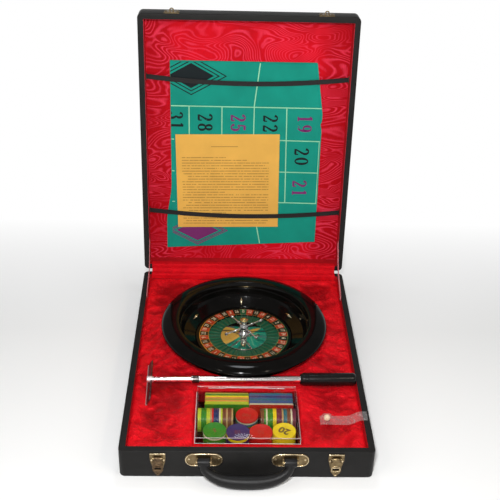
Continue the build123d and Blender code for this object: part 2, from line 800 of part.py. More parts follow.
def deflectors():
    """Diamond-shaped ball deflectors on the apron, by turns along and across the ball's way."""
    rise = math.degrees(math.atan2(bowl_apron_top - bowl_apron_foot, bowl_track_radius - 2 - rotor_radius - rotor_gap))
    share = (deflector_circle - rotor_radius - rotor_gap) / (bowl_track_radius - 2 - rotor_radius - rotor_gap)
    level = bowl_apron_foot + share * (bowl_apron_top - bowl_apron_foot)
    diamonds = []
    for index in range(deflector_count):
        cone = Pos(0, 0, deflector_length / 4) * Cone(deflector_radius, 0.3, deflector_length / 2)
        diamond = cone + Rot(180, 0, 0) * cone
        diamond = Rot(0, 90, 0) * diamond
        diamond -= block(-deflector_length, deflector_length, -deflector_length, deflector_length, -deflector_length, 0)
        turn = 90 if index % 2 == 0 else 0
        angle = deflector_start + index * 360 / deflector_count
        place = Rot(0, 0, angle) * Pos(deflector_circle, 0, level + 0.15) * Rot(0, -rise, 0) * Rot(0, 0, turn)
        diamonds.append(place * diamond)
    return group(*diamonds)


def spindle():
    """Fixed spindle with a head under the bowl and a collar that carries the rotor."""
    collar_under = bowl_floor
    head = drum(spindle_head_radius, bowl_foot_recess - spindle_head, bowl_foot_recess)
    shaft = drum(spindle_radius, bowl_foot_recess - spindle_head, plate_edge_top)
    return head + shaft + drum(spindle_collar_radius, collar_under, collar_under + spindle_collar)


# ------------------------------------------------------------------ rotor
def rotor_disc():
    """Turned disc with its hub, pocket floor, seat for the number ring and skirt."""
    bore = spindle_radius + running_gap + bush_wall
    seat = number_ring_top - number_ring_thickness
    under = pocket_floor - rotor_web
    plate_seat = plate_edge_top - plate_thickness
    outline = [
        (bore, bowl_floor + spindle_collar + soft_gap),
        (rotor_hub_radius, bowl_floor + spindle_collar + soft_gap),
        (rotor_hub_radius, under),
        (rotor_radius - rotor_skirt_wall, under),
        (rotor_radius - rotor_skirt_wall, rotor_skirt),
        (rotor_radius, rotor_skirt),
        (rotor_radius, rotor_rim_top),
        (number_ring_outer, rotor_rim_top),
        (number_ring_outer, seat),
        (number_ring_inner, seat),
        (number_ring_inner, pocket_floor),
        (pocket_inner, pocket_floor),
        (pocket_inner, plate_seat),
        (bore, plate_seat),
    ]
    return turned(outline)


def pocket_frets():
    """Thin upright walls between the pockets."""
    length = number_ring_inner - pocket_inner - 2 * fret_gap
    frets = []
    for index in range(pocket_count):
        fret = Pos((pocket_inner + number_ring_inner) / 2, 0, pocket_floor + fret_height / 2)
        fret = Rot(0, 0, (index + 0.5) * 360 / pocket_count) * fret * Box(length, fret_thickness, fret_height)
        frets.append(fret)
    return group(*frets)


def centre_plate():
    """Polished plate inside the pockets, a very flat cone."""
    low = plate_edge_top - plate_thickness
    centre = plate_edge_top + plate_rise
    hole = plate_hole_radius
    return turned([(hole, low), (pocket_inner, low), (pocket_inner, plate_edge_top), (hole, centre)])


def turret():
    """Turned column with four beaded arms."""
    foot = plate_edge_top + plate_rise
    arm_z = foot + turret_arm_level
    top = foot + turret_height
    spool = turret_head_radius
    column = turned_rounded(
        [
            (0, foot),
            (turret_foot_radius, foot),
            (turret_foot_radius, foot + 2),
            (turret_neck_radius, foot + 7),
            (spool, arm_z - 3),
            (spool, arm_z + 3),
            (turret_neck_radius, arm_z + 8),
            (spool, top - 3),
            (spool, top),
            (0, top),
        ],
        [0, 0.5, 1, 3, 1.5, 1.5, 3, 1.5, 0.6, 0],
    )
    for index in range(turret_arm_count):
        turn = Rot(0, 0, turret_arm_start + index * 360 / turret_arm_count)
        length = turret_arm_reach - turret_bead_radius
        column += turn * Pos(length / 2, 0, arm_z) * Rot(0, 90, 0) * Cylinder(turret_arm_radius, length)
        column += turn * Pos(length, 0, arm_z) * Sphere(turret_bead_radius)
        column += turn * Pos(length * 0.55, 0, arm_z) * Sphere(turret_bead_radius * 0.8)
    return column


def turret_cap():
    """Low brass cap on the turret."""
    low = plate_edge_top + plate_rise + turret_height
    return turned_rounded(
        [(0, low), (cap_radius, low), (cap_radius, low + cap_height * 0.45), (2.2, low + cap_height), (0, low + cap_height)],
        [0, 0.4, 1.2, 0.8, 0],
    )


def wheel():
    """Every piece of the wheel, set in its well."""
    bush_bore = spindle_radius + running_gap
    bush = drum(bush_bore + bush_wall, bowl_floor + spindle_collar + soft_gap, plate_edge_top - plate_thickness, bush_bore)
    seat = number_ring_top - number_ring_thickness
    pieces = {
        "wheel_bowl": wheel_bowl(),
        "wheel_felt": felt_ring(),
        "ball_deflectors": deflectors(),
        "wheel_spindle": spindle(),
        "rotor_disc": rotor_disc(),
        "number_ring": drum(number_ring_outer, seat, number_ring_top, number_ring_inner),
        "pocket_frets": pocket_frets(),
        "centre_plate": centre_plate(),
        "turret": turret(),
        "turret_cap": turret_cap(),
        "rotor_bush": bush,
    }
    return {name: placed(WHEEL, piece) for name, piece in pieces.items()}


# ------------------------------------------------------------------ rake (along X from the blade)
def rake():
    """Croupier's rake: grip, tube with collar, and the rod and blade that telescope."""
    grip_start = rake_length - rake_grip_length
    tube_end = rake_length - rake_grip_length * 0.25
    bore = rake_tube_radius - rake_tube_wall
    grip = bar_x(rake_grip_radius, grip_start, rake_length, 0, 0)
    ends = grip.edges().filter_by(GeomType.CIRCLE).sort_by(Axis.X)
    grip = fillet(ends[-1], rake_grip_radius * 0.6)
    grip = chamfer(grip.edges().filter_by(GeomType.CIRCLE).sort_by(Axis.X)[0], 6, 2)
    grip -= bar_x(rake_tube_radius, grip_start - 1, tube_end, 0, 0)
    tube = bar_x(rake_tube_radius, rake_tube_start, tube_end, 0, 0)
    tube += bar_x(rake_collar_radius, rake_tube_start, rake_tube_start + rake_collar_length, 0, 0)
    tube -= bar_x(bore, rake_tube_start - 1, tube_end - 4, 0, 0)
    rod = bar_x(bore - running_gap, 0, rake_rod_end, 0, 0)
    middle = Rot(0, rake_blade_lean, 0)
    blade = Box(rake_blade_thickness, rake_blade_length, rake_blade_height)
    blade = fillet(blade.edges().filter_by(Axis.X), 3)
    blade = Pos(0, 0, rake_blade_height / 2 - rake_rise + rake_blade_gap) * middle * blade
    blade += bar_x(rake_socket_radius, -rake_blade_thickness, rake_socket_length, 0, 0)
    blade -= bar_x(bore - running_gap, 0, rake_socket_length + 1, 0, 0)
    pieces = {"rake_grip": grip, "rake_tube": tube, "rake_rod": rod, "rake_blade": blade}
    return {name: placed(RAKE, piece) for name, piece in pieces.items()}


# ------------------------------------------------------------------ chip box
def chip_tray():
    """Clear tray with two long dividers and two short ones."""
    tray = block(box_left, box_left + box_width, box_front, box_back, box_bottom, tray_top)
    inner_left = box_left + box_wall
    inner_right = box_left + box_width - box_wall
    y = box_front + box_wall
    hinge_places = both_sides(box_hinge_room, box_hinge_spacing)
    depths = [front_row_depth, middle_row_depth]
    depths.append(box_depth - 2 * box_wall - 2 * box_divider - sum(depths))
    for row, depth in enumerate(depths):
        cells = [(inner_left, inner_right)]
        if row == 1:
            half = flat_cell_width / 2
            cells = [
                (inner_left, box_x - half - box_divider),
                (box_x - half, box_x + half),
                (box_x + half + box_divider, inner_right),
            ]
        for x0, x1 in cells:
            tray -= block(x0, x1, y, y + depth, box_floor, tray_top + 1)
        y += depth + box_divider
    for place in hinge_places:
        tray -= place
    return tray


def box_hinge_room():
    """Notch in the rear wall for one barrel of the lid, with the holes for its two pins."""
    half = box_hinge_length / 2
    room = box_hinge_radius + box_hinge_gap
    notch = block(box_x - half, box_x + half, box_back - box_wall - 1, box_back + 1, box_hinge_z - room, box_top)
    reach = half + box_hinge_pin_length
    return notch + bar_x(box_hinge_pin_radius + running_gap, box_x - reach, box_x + reach, box_hinge_y, box_hinge_z)


def box_hinge_barrel():
    """Barrel with a pin at each end and the web that joins it to the lid."""
    half = box_hinge_length / 2 - box_hinge_gap
    reach = box_hinge_length / 2 + box_hinge_pin_length - box_hinge_gap
    barrel = bar_x(box_hinge_radius, box_x - half, box_x + half, box_hinge_y, box_hinge_z)
    barrel += bar_x(box_hinge_pin_radius, box_x - reach, box_x + reach, box_hinge_y, box_hinge_z)
    rear = box_hinge_y + box_hinge_radius
    front = box_hinge_y - box_hinge_radius
    return barrel + block(box_x - half, box_x + half, front, rear, box_hinge_z, box_top - box_lid_thickness)


def chip_lid():
    """Clear lid, hinged along the tray's rear edge."""
    lid = block(box_left, box_left + box_width, box_front, box_back, box_top - box_lid_thickness, box_top)
    for barrel in both_sides(box_hinge_barrel, box_hinge_spacing):
        lid += barrel
    return lid


def chip_stack(count):
    """Round chips lying flat on each other."""
    chips = []
    for index in range(count):
        z = chip_seat + index * chip_thickness
        chips.append(drum(chip_diameter / 2, z, z + chip_thickness - chip_gap))
    return chips


def loose_chips():
    """Flat stacks in the front row and the middle cell, and chips on edge beside it."""
    chips = []
    front_y = box_front + box_wall + front_row_depth / 2
    middle_y = box_front + box_wall + front_row_depth + box_divider + middle_row_depth / 2
    pitch = chip_diameter + chip_play
    for column in range(4):
        x = box_x + (column - 1.5) * pitch
        count = flat_stack_chips + (1 if column in (0, 3) else 0)
        chips += [Pos(x, front_y, 0) * chip for chip in chip_stack(count)]
    chips += [Pos(box_x, middle_y, 0) * chip for chip in chip_stack(flat_stack_chips - 1)]
    run = (box_width - 2 * box_wall - flat_cell_width) / 2 - box_divider
    count = int(run / chip_thickness)
    radius = chip_diameter / 2
    for start in (box_left + box_wall, box_x + flat_cell_width / 2 + box_divider):
        for index in range(count):
            x = start + chip_gap + index * chip_thickness
            chips.append(bar_x(radius, x, x + chip_thickness - chip_gap, middle_y, chip_seat + radius))
    return group(*chips)


def plaques():
    """Two stacks of rectangular plaques on edge in the rear row."""
    rear_wall = box_back - box_wall
    pieces = []
    for side in (-1, 1):
        middle = box_x + 3.4 + side * (plaque_length / 2 + chip_gap)
        for index in range(plaque_count):
            back = rear_wall - chip_gap - index * plaque_thickness
            plaque = block(
                middle - plaque_length / 2,
                middle + plaque_length / 2,
                back - plaque_thickness + chip_gap,
                back,
                chip_seat,
                chip_seat + plaque_height,
            )
            pieces.append(plaque)
    return group(*pieces)


# ------------------------------------------------------------------ ball in its bag
def bag_profile(thicken):
    """Outline in X and Z of the bag: flat on the pad, then up over the rim; grown outwards by thicken."""
    low = pad_level + soft_gap + bag_film - thicken
    left = ball_x - bag_start - thicken
    flat = ball_x + bag_flat
    edge = inner_half_width
    rise = base_height + bag_rim_gap + bag_film - thicken
    dome = ball_radius + 0.3
    high = pad_level + soft_gap + bag_film + 2 * dome + thicken
    film = bag_film * 0.6 + 2 * thicken
    return [
        (left, low),
        (flat, low),
        (edge - 2.0, rise),
        (edge + bag_end + thicken, rise),
        (edge + bag_end + thicken, rise + film),
        (edge - 3.0, rise + film),
        (flat - 1.0, low + film),
        (ball_x + 2.2 * dome, low + film),
        (ball_x + 0.8 * dome, high),
        (ball_x - 0.8 * dome, high),
        (left, low + film),
    ]


def bag_solid(thicken, width):
    """The bag's profile drawn across its width."""
    face = make_face(Polyline(*[(x, 0, z) for x, z in bag_profile(thicken)], close=True))
    return Pos(0, ball_y + width / 2, 0) * extrude(face, amount=width, dir=(0, -1, 0))


def ball_and_bag():
    """Ball inside a flat clear bag whose end lies on the case's rim."""
    ball_z = pad_level + soft_gap + bag_film + ball_radius + 0.1
    bag = bag_solid(bag_film, bag_width) - bag_solid(0, bag_width - 2 * bag_film)
    return {"roulette_ball": Pos(ball_x, ball_y, ball_z) * Sphere(ball_radius), "ball_bag": bag}


# ------------------------------------------------------------------ assembly
def all_parts():
    """Every node by name, each in its place with the case standing open."""
    parts = {}
    parts.update(base_shell())
    parts.update(padded_insert())
    parts.update(lid_shell())
    parts.update(hinges())
    parts.update(latches())
    parts["base_rivets"], parts["lid_rivets"] = rivets()
    parts["layout_cloth"] = layout_cloth()
    parts["rules_sheet"] = rules_sheet()
    parts["elastic_straps"] = group(strap(strap_front_y), strap(strap_back_y))
    parts["strap_anchors"] = strap_anchors()
    swinging = [name for name in parts if name.startswith("lid_")]
    swinging += ["hinge_lid_leaves", "layout_cloth", "rules_sheet", "elastic_straps", "strap_anchors"]
    for name in swinging:
        parts[name] = placed(LID_OPEN, parts[name])
    parts["stay_ribbons"] = stay_ribbons()
    parts["hinge_seam_strip"] = seam_strip()
    parts.update(handle_parts())
    parts.update(wheel())
    parts.update(rake())
    parts["chip_tray"] = chip_tray()
    parts["chip_box_lid"] = chip_lid()
    parts["round_chips"] = loose_chips()
    parts["plaques"] = plaques()
    parts.update(ball_and_bag())
    return parts


PARTS = all_parts()
os.makedirs("parts", exist_ok=True)
for node, shape in PARTS.items():
    export_step(shape, os.path.join("parts", node + ".step"))
print(len(PARTS), "nodes written")
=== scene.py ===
"""Roulette set in its hinged carrying case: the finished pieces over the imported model.

Metres, +Z up, front of the case towards -Y, origin under the middle of the base. Pieces of the lid are made
as the shut lid lies and then swung open with it.
"""

from __future__ import annotations

import json
import logging
import math
from collections.abc import Callable, Iterator, Sequence
from contextlib import contextmanager
from dataclasses import dataclass, field
from enum import Enum

import bmesh
import bpy
from mathutils import Matrix, Vector, noise

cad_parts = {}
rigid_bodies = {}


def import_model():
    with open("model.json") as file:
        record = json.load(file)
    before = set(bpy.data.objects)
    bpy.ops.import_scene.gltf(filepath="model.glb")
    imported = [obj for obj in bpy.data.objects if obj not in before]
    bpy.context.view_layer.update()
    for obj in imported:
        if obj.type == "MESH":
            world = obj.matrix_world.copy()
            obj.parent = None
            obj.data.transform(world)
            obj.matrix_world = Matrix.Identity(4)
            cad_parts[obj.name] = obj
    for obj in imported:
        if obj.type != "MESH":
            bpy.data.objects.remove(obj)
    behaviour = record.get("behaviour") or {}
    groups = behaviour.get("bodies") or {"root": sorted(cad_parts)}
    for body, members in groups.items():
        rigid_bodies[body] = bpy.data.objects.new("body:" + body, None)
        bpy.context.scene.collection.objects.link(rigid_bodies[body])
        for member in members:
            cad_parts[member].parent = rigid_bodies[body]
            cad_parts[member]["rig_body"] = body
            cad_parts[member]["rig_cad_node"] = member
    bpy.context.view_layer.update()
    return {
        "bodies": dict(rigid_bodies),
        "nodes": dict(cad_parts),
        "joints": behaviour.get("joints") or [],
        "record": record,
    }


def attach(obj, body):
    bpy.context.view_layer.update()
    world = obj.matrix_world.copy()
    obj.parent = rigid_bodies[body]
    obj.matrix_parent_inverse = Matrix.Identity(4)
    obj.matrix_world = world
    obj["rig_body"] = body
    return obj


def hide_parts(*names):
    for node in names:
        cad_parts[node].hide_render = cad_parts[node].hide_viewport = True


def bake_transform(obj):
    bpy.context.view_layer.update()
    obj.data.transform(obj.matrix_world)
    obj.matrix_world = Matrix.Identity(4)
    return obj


log = logging.getLogger("roulette_case")

MM = 0.001
Colour = tuple[float, float, float]
Point = tuple[float, float, float]
Piece = bpy.types.Object
Material = bpy.types.Material
Socket = bpy.types.NodeSocket
Test = Callable[[Vector, Vector], bool]


class Half(Enum):
    """The two halves of the case."""

    BASE = "base"
    LID = "lid"


class Element(Enum):
    """What an edit-mode selection is made of."""

    FACE = "FACE"
    EDGE = "EDGE"
    VERT = "VERT"


# -------------------------------------------------------------------------------------- workbench
class Bench:
    """The few modelling steps that every piece is made with."""

    @staticmethod
    def clear() -> None:
        """Leaves edit mode and deselects everything."""
        active = bpy.context.view_layer.objects.active
        if active is not None and active.mode != "OBJECT":
            bpy.ops.object.mode_set(mode="OBJECT")
        bpy.ops.object.select_all(action="DESELECT")

    @staticmethod
    def take(piece: Piece) -> Piece:
        """Makes one piece the active and only selected one.

        Args:
            piece: The piece to work on.

        Returns:
            The same piece.
        """
        Bench.clear()
        piece.select_set(True)
        bpy.context.view_layer.objects.active = piece
        return piece

    @staticmethod
    def named(name: str) -> Piece:
        """Names the piece that an operator has just added and puts its place into its mesh.

        Args:
            name: The piece's name.

        Returns:
            The piece, at the origin.
        """
        piece = bpy.context.view_layer.objects.active
        piece.name = name
        piece.data.name = name
        return Bench.settle(piece)

    @staticmethod
    def settle(piece: Piece) -> Piece:
        """Puts a piece's place, turn and scale into its mesh."""
        Bench.take(piece)
        bpy.ops.object.transform_apply(location=True, rotation=True, scale=True)
        return piece

    @staticmethod
    def block(name: str, low: Point, high: Point) -> Piece:
        """A box between two corners.

        Args:
            name: The piece's name.
            low: Lowest corner.
            high: Highest corner.

        Returns:
            The box.
        """
        Bench.clear()
        middle = [(a + b) / 2 for a, b in zip(low, high)]
        size = [b - a for a, b in zip(low, high)]
        bpy.ops.mesh.primitive_cube_add(size=1, location=middle, scale=size)
        return Bench.named(name)

    @staticmethod
    def rod(name: str, start: Point, end: Point, radius: float, sides: int = 32) -> Piece:
        """A round bar between two points.

        Args:
            name: The piece's name.
            start: Middle of one end.
            end: Middle of the other end.
            radius: Its radius.
            sides: Faces round it.

        Returns:
            The bar.
        """
        Bench.clear()
        a, b = Vector(start), Vector(end)
        turn = (b - a).to_track_quat("Z", "Y").to_euler()
        bpy.ops.mesh.primitive_cylinder_add(
            vertices=sides, radius=radius, depth=(b - a).length, location=(a + b) / 2, rotation=turn
        )
        return Bench.named(name)

    @staticmethod
    def ball(name: str, centre: Point, radius: float, segments: int = 24) -> Piece:
        """A round ball."""
        Bench.clear()
        bpy.ops.mesh.primitive_uv_sphere_add(
            segments=segments, ring_count=segments // 2, radius=radius, location=centre
        )
        return Bench.smooth(Bench.named(name), 60)

    @staticmethod
    def grid(
        name: str, low: tuple[float, float], high: tuple[float, float], level: float, step: float
    ) -> Piece:
        """A flat net of square cells.

        Args:
            name: The piece's name.
            low: Lowest corner in X and Y.
            high: Highest corner in X and Y.
            level: Its height.
            step: Rough size of a cell.

        Returns:
            The net.
        """
        Bench.clear()
        wide, deep = high[0] - low[0], high[1] - low[1]
        bpy.ops.mesh.primitive_grid_add(
            x_subdivisions=max(1, round(wide / step)), y_subdivisions=max(1, round(deep / step)), size=1
        )
        net = Bench.named(name)
        middle = ((low[0] + high[0]) / 2, (low[1] + high[1]) / 2, level)
        net.data.transform(Matrix.Translation(middle) @ Matrix.Diagonal((wide, deep, 1, 1)))
        return net

    @staticmethod
    @contextmanager
    def editing(piece: Piece, kind: Element = Element.FACE) -> Iterator[None]:
        """Edit mode on one piece, with nothing selected, until the block ends."""
        Bench.take(piece)
        bpy.ops.object.mode_set(mode="EDIT")
        bpy.ops.mesh.select_mode(type=kind.value)
        bpy.ops.mesh.select_all(action="DESELECT")
        yield
        bpy.ops.object.mode_set(mode="OBJECT")

    @staticmethod
    def pick(piece: Piece, test: Test, kind: Element = Element.FACE) -> int:
        """Selects, in edit mode, the faces, edges or corners that pass a test.

        Args:
            piece: The piece in edit mode.
            test: Gets an element's middle and its direction: a normal, or the way an edge runs.
            kind: What is selected.

        Returns:
            How many passed.
        """
        bpy.ops.mesh.select_mode(type=kind.value)
        bpy.ops.mesh.select_all(action="DESELECT")
        shape = bmesh.from_edit_mesh(piece.data)
        count = 0
        if kind is Element.FACE:
            found = [(face, face.calc_center_median(), face.normal) for face in shape.faces]
        elif kind is Element.EDGE:
            found = [
                (
                    edge,
                    (edge.verts[0].co + edge.verts[1].co) / 2,
                    (edge.verts[1].co - edge.verts[0].co).normalized(),
                )
                for edge in shape.edges
            ]
        else:
            found = [(vert, vert.co, vert.normal) for vert in shape.verts]
        for item, middle, direction in found:
            if test(middle, direction):
                item.select_set(True)
                count += 1
        shape.select_flush_mode()
        bmesh.update_edit_mesh(piece.data)
        return count

    @staticmethod
    def bevel(piece: Piece, width: float, steps: int = 3, test: Test | None = None) -> Piece:
        """Rounds the edges that pass a test, or all of them.

        Args:
            piece: The piece.
            width: Width of the rounding.
            steps: Faces across it.
            test: Which edges, by middle and direction.

        Returns:
            The same piece.
        """
        with Bench.editing(piece, Element.EDGE):
            Bench.pick(piece, test or (lambda middle, way: True), Element.EDGE)
            bpy.ops.mesh.bevel(offset=width, segments=steps, profile=0.5, affect="EDGES", clamp_overlap=True)
        return piece

    @staticmethod
    def modify(piece: Piece, kind: str, **settings: object) -> Piece:
        """Adds one modifier with its settings and applies it.

        Args:
            piece: The piece.
            kind: The modifier's type.
            **settings: Its settings by name.

        Returns:
            The same piece.
        """
        Bench.take(piece)
        modifier = piece.modifiers.new(kind.lower(), kind)
        for key, value in settings.items():
            setattr(modifier, key, value)
        bpy.ops.object.modifier_apply(modifier=modifier.name)
        return piece

    @staticmethod
    def cut(piece: Piece, tool: Piece) -> Piece:
        """Takes a tool's shape out of a piece and throws the tool away."""
        Bench.modify(piece, "BOOLEAN", operation="DIFFERENCE", solver="EXACT", object=tool)
        bpy.data.objects.remove(tool)
        return piece

    @staticmethod
    def smooth(piece: Piece, angle: float = 35.0) -> Piece:
        """Shades a piece smooth except over edges sharper than an angle in degrees."""
        Bench.take(piece)
        bpy.ops.object.shade_smooth_by_angle(angle=math.radians(angle))
        return piece

    @staticmethod
    def crisp(piece: Piece, angle: float = 35.0) -> Piece:
        """Shades smooth and lets the large faces keep their own direction."""
        Bench.smooth(piece, angle)
        return Bench.modify(piece, "WEIGHTED_NORMAL", keep_sharp=True, weight=60)

    @staticmethod
    def tidy(piece: Piece, gap: float = 0.00001) -> Piece:
        """Merges doubled corners and turns every face outwards."""
        with Bench.editing(piece, Element.VERT):
            bpy.ops.mesh.select_all(action="SELECT")
            bpy.ops.mesh.remove_doubles(threshold=gap)
            bpy.ops.mesh.normals_make_consistent(inside=False)
        return piece

    @staticmethod
    def join(name: str, pieces: Sequence[Piece]) -> Piece:
        """Makes one piece of several.

        Args:
            name: The joined piece's name.
            pieces: What is joined, the first one first.

        Returns:
            The joined piece.
        """
        Bench.take(pieces[0])
        for piece in pieces[1:]:
            piece.select_set(True)
        if len(pieces) > 1:
            bpy.ops.object.join()
        pieces[0].name = name
        pieces[0].data.name = name
        return pieces[0]

    @staticmethod
    def twin(piece: Piece, name: str, place: Matrix) -> Piece:
        """A copy with its own mesh, moved by a matrix.

        Args:
            piece: What is copied.
            name: The copy's name.
            place: Where it goes.

        Returns:
            The copy.
        """
        copy = piece.copy()
        copy.data = piece.data.copy()
        copy.name = name
        copy.data.name = name
        bpy.context.scene.collection.objects.link(copy)
        copy.data.transform(place)
        return copy

    @staticmethod
    def from_node(node: str, name: str) -> Piece:
        """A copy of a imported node's shape with its corners merged, ready to be softened.

        Args:
            node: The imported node.
            name: The copy's name.

        Returns:
            The copy, riding on nothing yet.
        """
        copy = FRAME["nodes"][node].copy()
        copy.data = copy.data.copy()
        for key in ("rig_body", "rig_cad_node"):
            if key in copy:
                del copy[key]
        copy.parent = None
        copy.matrix_world = Matrix.Identity(4)
        copy.name = name
        copy.data.name = name
        bpy.context.scene.collection.objects.link(copy)
        with Bench.editing(copy, Element.VERT):
            bpy.ops.mesh.select_all(action="SELECT")
            bpy.ops.mesh.remove_doubles(threshold=0.000005)
            bpy.ops.mesh.dissolve_limited(angle_limit=math.radians(1))
        return copy

    @staticmethod
    def drawn(name: str, line: Sequence[Point], closed: bool = False) -> Piece:
        """A bare line through points, drawn corner by corner.

        Args:
            name: The piece's name.
            line: Its points.
            closed: Whether the last point joins the first.

        Returns:
            A piece of edges only.
        """
        Bench.clear()
        bpy.ops.mesh.primitive_plane_add(size=MM, location=(0, 0, 0))
        piece = Bench.named(name)
        with Bench.editing(piece, Element.VERT):
            bpy.ops.mesh.select_all(action="SELECT")
            bpy.ops.mesh.merge(type="CENTER")
            bpy.ops.transform.translate(value=line[0])
            for here, there in zip(line, line[1:]):
                step = tuple(b - a for a, b in zip(here, there))
                bpy.ops.mesh.extrude_region_move(TRANSFORM_OT_translate={"value": step})
            if closed:
                bpy.ops.mesh.select_all(action="SELECT")
                bpy.ops.mesh.remove_doubles(threshold=0.000001)
        return piece

    @staticmethod
    def turned(
        name: str, outline: Sequence[tuple[float, float]], centre: Point = (0, 0, 0), steps: int = 128
    ) -> Piece:
        """A turned piece about an upright line.

        Args:
            name: The piece's name.
            outline: Closed outline of (radius, height), from and back to the axis or round a ring.
            centre: Where the upright line stands and heights start.
            steps: Faces round it.

        Returns:
            The turned piece, smooth.
        """
        line = [(r, 0.0, z) for r, z in outline]
        if outline[0][0] > 0 or outline[-1][0] > 0:
            line.append(line[0])
        piece = Bench.drawn(name, line)
        with Bench.editing(piece, Element.VERT):
            bpy.ops.mesh.select_all(action="SELECT")
            bpy.ops.mesh.spin(steps=steps, angle=math.tau, center=(0, 0, 0), axis=(0, 0, 1))
            bpy.ops.mesh.select_all(action="SELECT")
            bpy.ops.mesh.remove_doubles(threshold=0.000002)
            bpy.ops.mesh.normals_make_consistent(inside=False)
        piece.data.transform(Matrix.Translation(centre))
        return Bench.smooth(piece, 40)

    @staticmethod
    def plate(name: str, outline: Sequence[tuple[float, float]], front: float, back: float) -> Piece:
        """A plate drawn in X and Z and given its thickness along Y.

        Args:
            name: The piece's name.
            outline: Corners in X and Z.
            front: Y of its front face.
            back: Y of its back face.

        Returns:
            The plate.
        """
        line = [(x, front, z) for x, z in outline]
        piece = Bench.drawn(name, [*line, line[0]], closed=True)
        with Bench.editing(piece, Element.VERT):
            bpy.ops.mesh.select_all(action="SELECT")
            bpy.ops.mesh.edge_face_add()
            bpy.ops.mesh.extrude_region_move(TRANSFORM_OT_translate={"value": (0, back - front, 0)})
            bpy.ops.mesh.select_all(action="SELECT")
            bpy.ops.mesh.normals_make_consistent(inside=False)
        return piece

    @staticmethod
    def shaped(piece: Piece, rule: Callable[[Vector], Vector | Point]) -> Piece:
        """Moves every corner of a soft piece by a rule."""
        for corner in piece.data.vertices:
            corner.co = rule(corner.co.copy())
        piece.data.update()
        return piece

    @staticmethod
    def written(
        name: str, text: str, size: float, place: Matrix, depth: float = 0.0, fat: float = 0.0
    ) -> Piece:
        """A numeral as a thin mesh.

        Args:
            name: The piece's name.
            text: The digits.
            size: Height of the type.
            place: Where it stands, from the XY plane.
            depth: Its thickness to each side.
            fat: How much bolder its strokes are, as a share of the size.

        Returns:
            The numeral.
        """
        Bench.clear()
        bpy.ops.object.text_add(location=(0, 0, 0))
        letters = bpy.context.view_layer.objects.active
        letters.data.body = text
        letters.data.size = size
        letters.data.align_x = "CENTER"
        letters.data.align_y = "CENTER"
        letters.data.extrude = depth
        letters.data.offset = fat * size
        letters.data.resolution_u = 3
        bpy.ops.object.convert(target="MESH")
        piece = Bench.named(name)
        piece.data.transform(place)
        return piece


def rounded(
    corners: Sequence[tuple[float, float, float]], steps: int = 5, closed: bool = False
) -> list[tuple[float, float]]:
    """A line with each corner rounded.

    Args:
        corners: (x, y, radius) of each corner.
        steps: Points on each rounding, less one.
        closed: Whether the line closes on itself.

    Returns:
        The points of the smooth line.
    """
    line: list[tuple[float, float]] = []
    count = len(corners)
    for index, (x, y, radius) in enumerate(corners):
        here = Vector((x, y))
        ends = index in (0, count - 1) and not closed
        if radius <= 0 or ends:
            line.append((x, y))
            continue
        before = Vector(corners[index - 1][:2]) - here
        after = Vector(corners[(index + 1) % count][:2]) - here
        half = before.angle(after, math.pi) / 2
        if half > math.radians(89):
            line.append((x, y))
            continue
        reach = min(radius / math.tan(half), before.length * 0.49, after.length * 0.49)
        start = here + before.normalized() * reach
        end = here + after.normalized() * reach
        real = reach * math.tan(half)
        centre = here + (before.normalized() + after.normalized()).normalized() * (real / math.sin(half))
        for step in range(steps + 1):
            share = step / steps
            chord = start.lerp(end, share) - centre
            point = centre + chord.normalized() * real
            line.append((point.x, point.y))
    return line


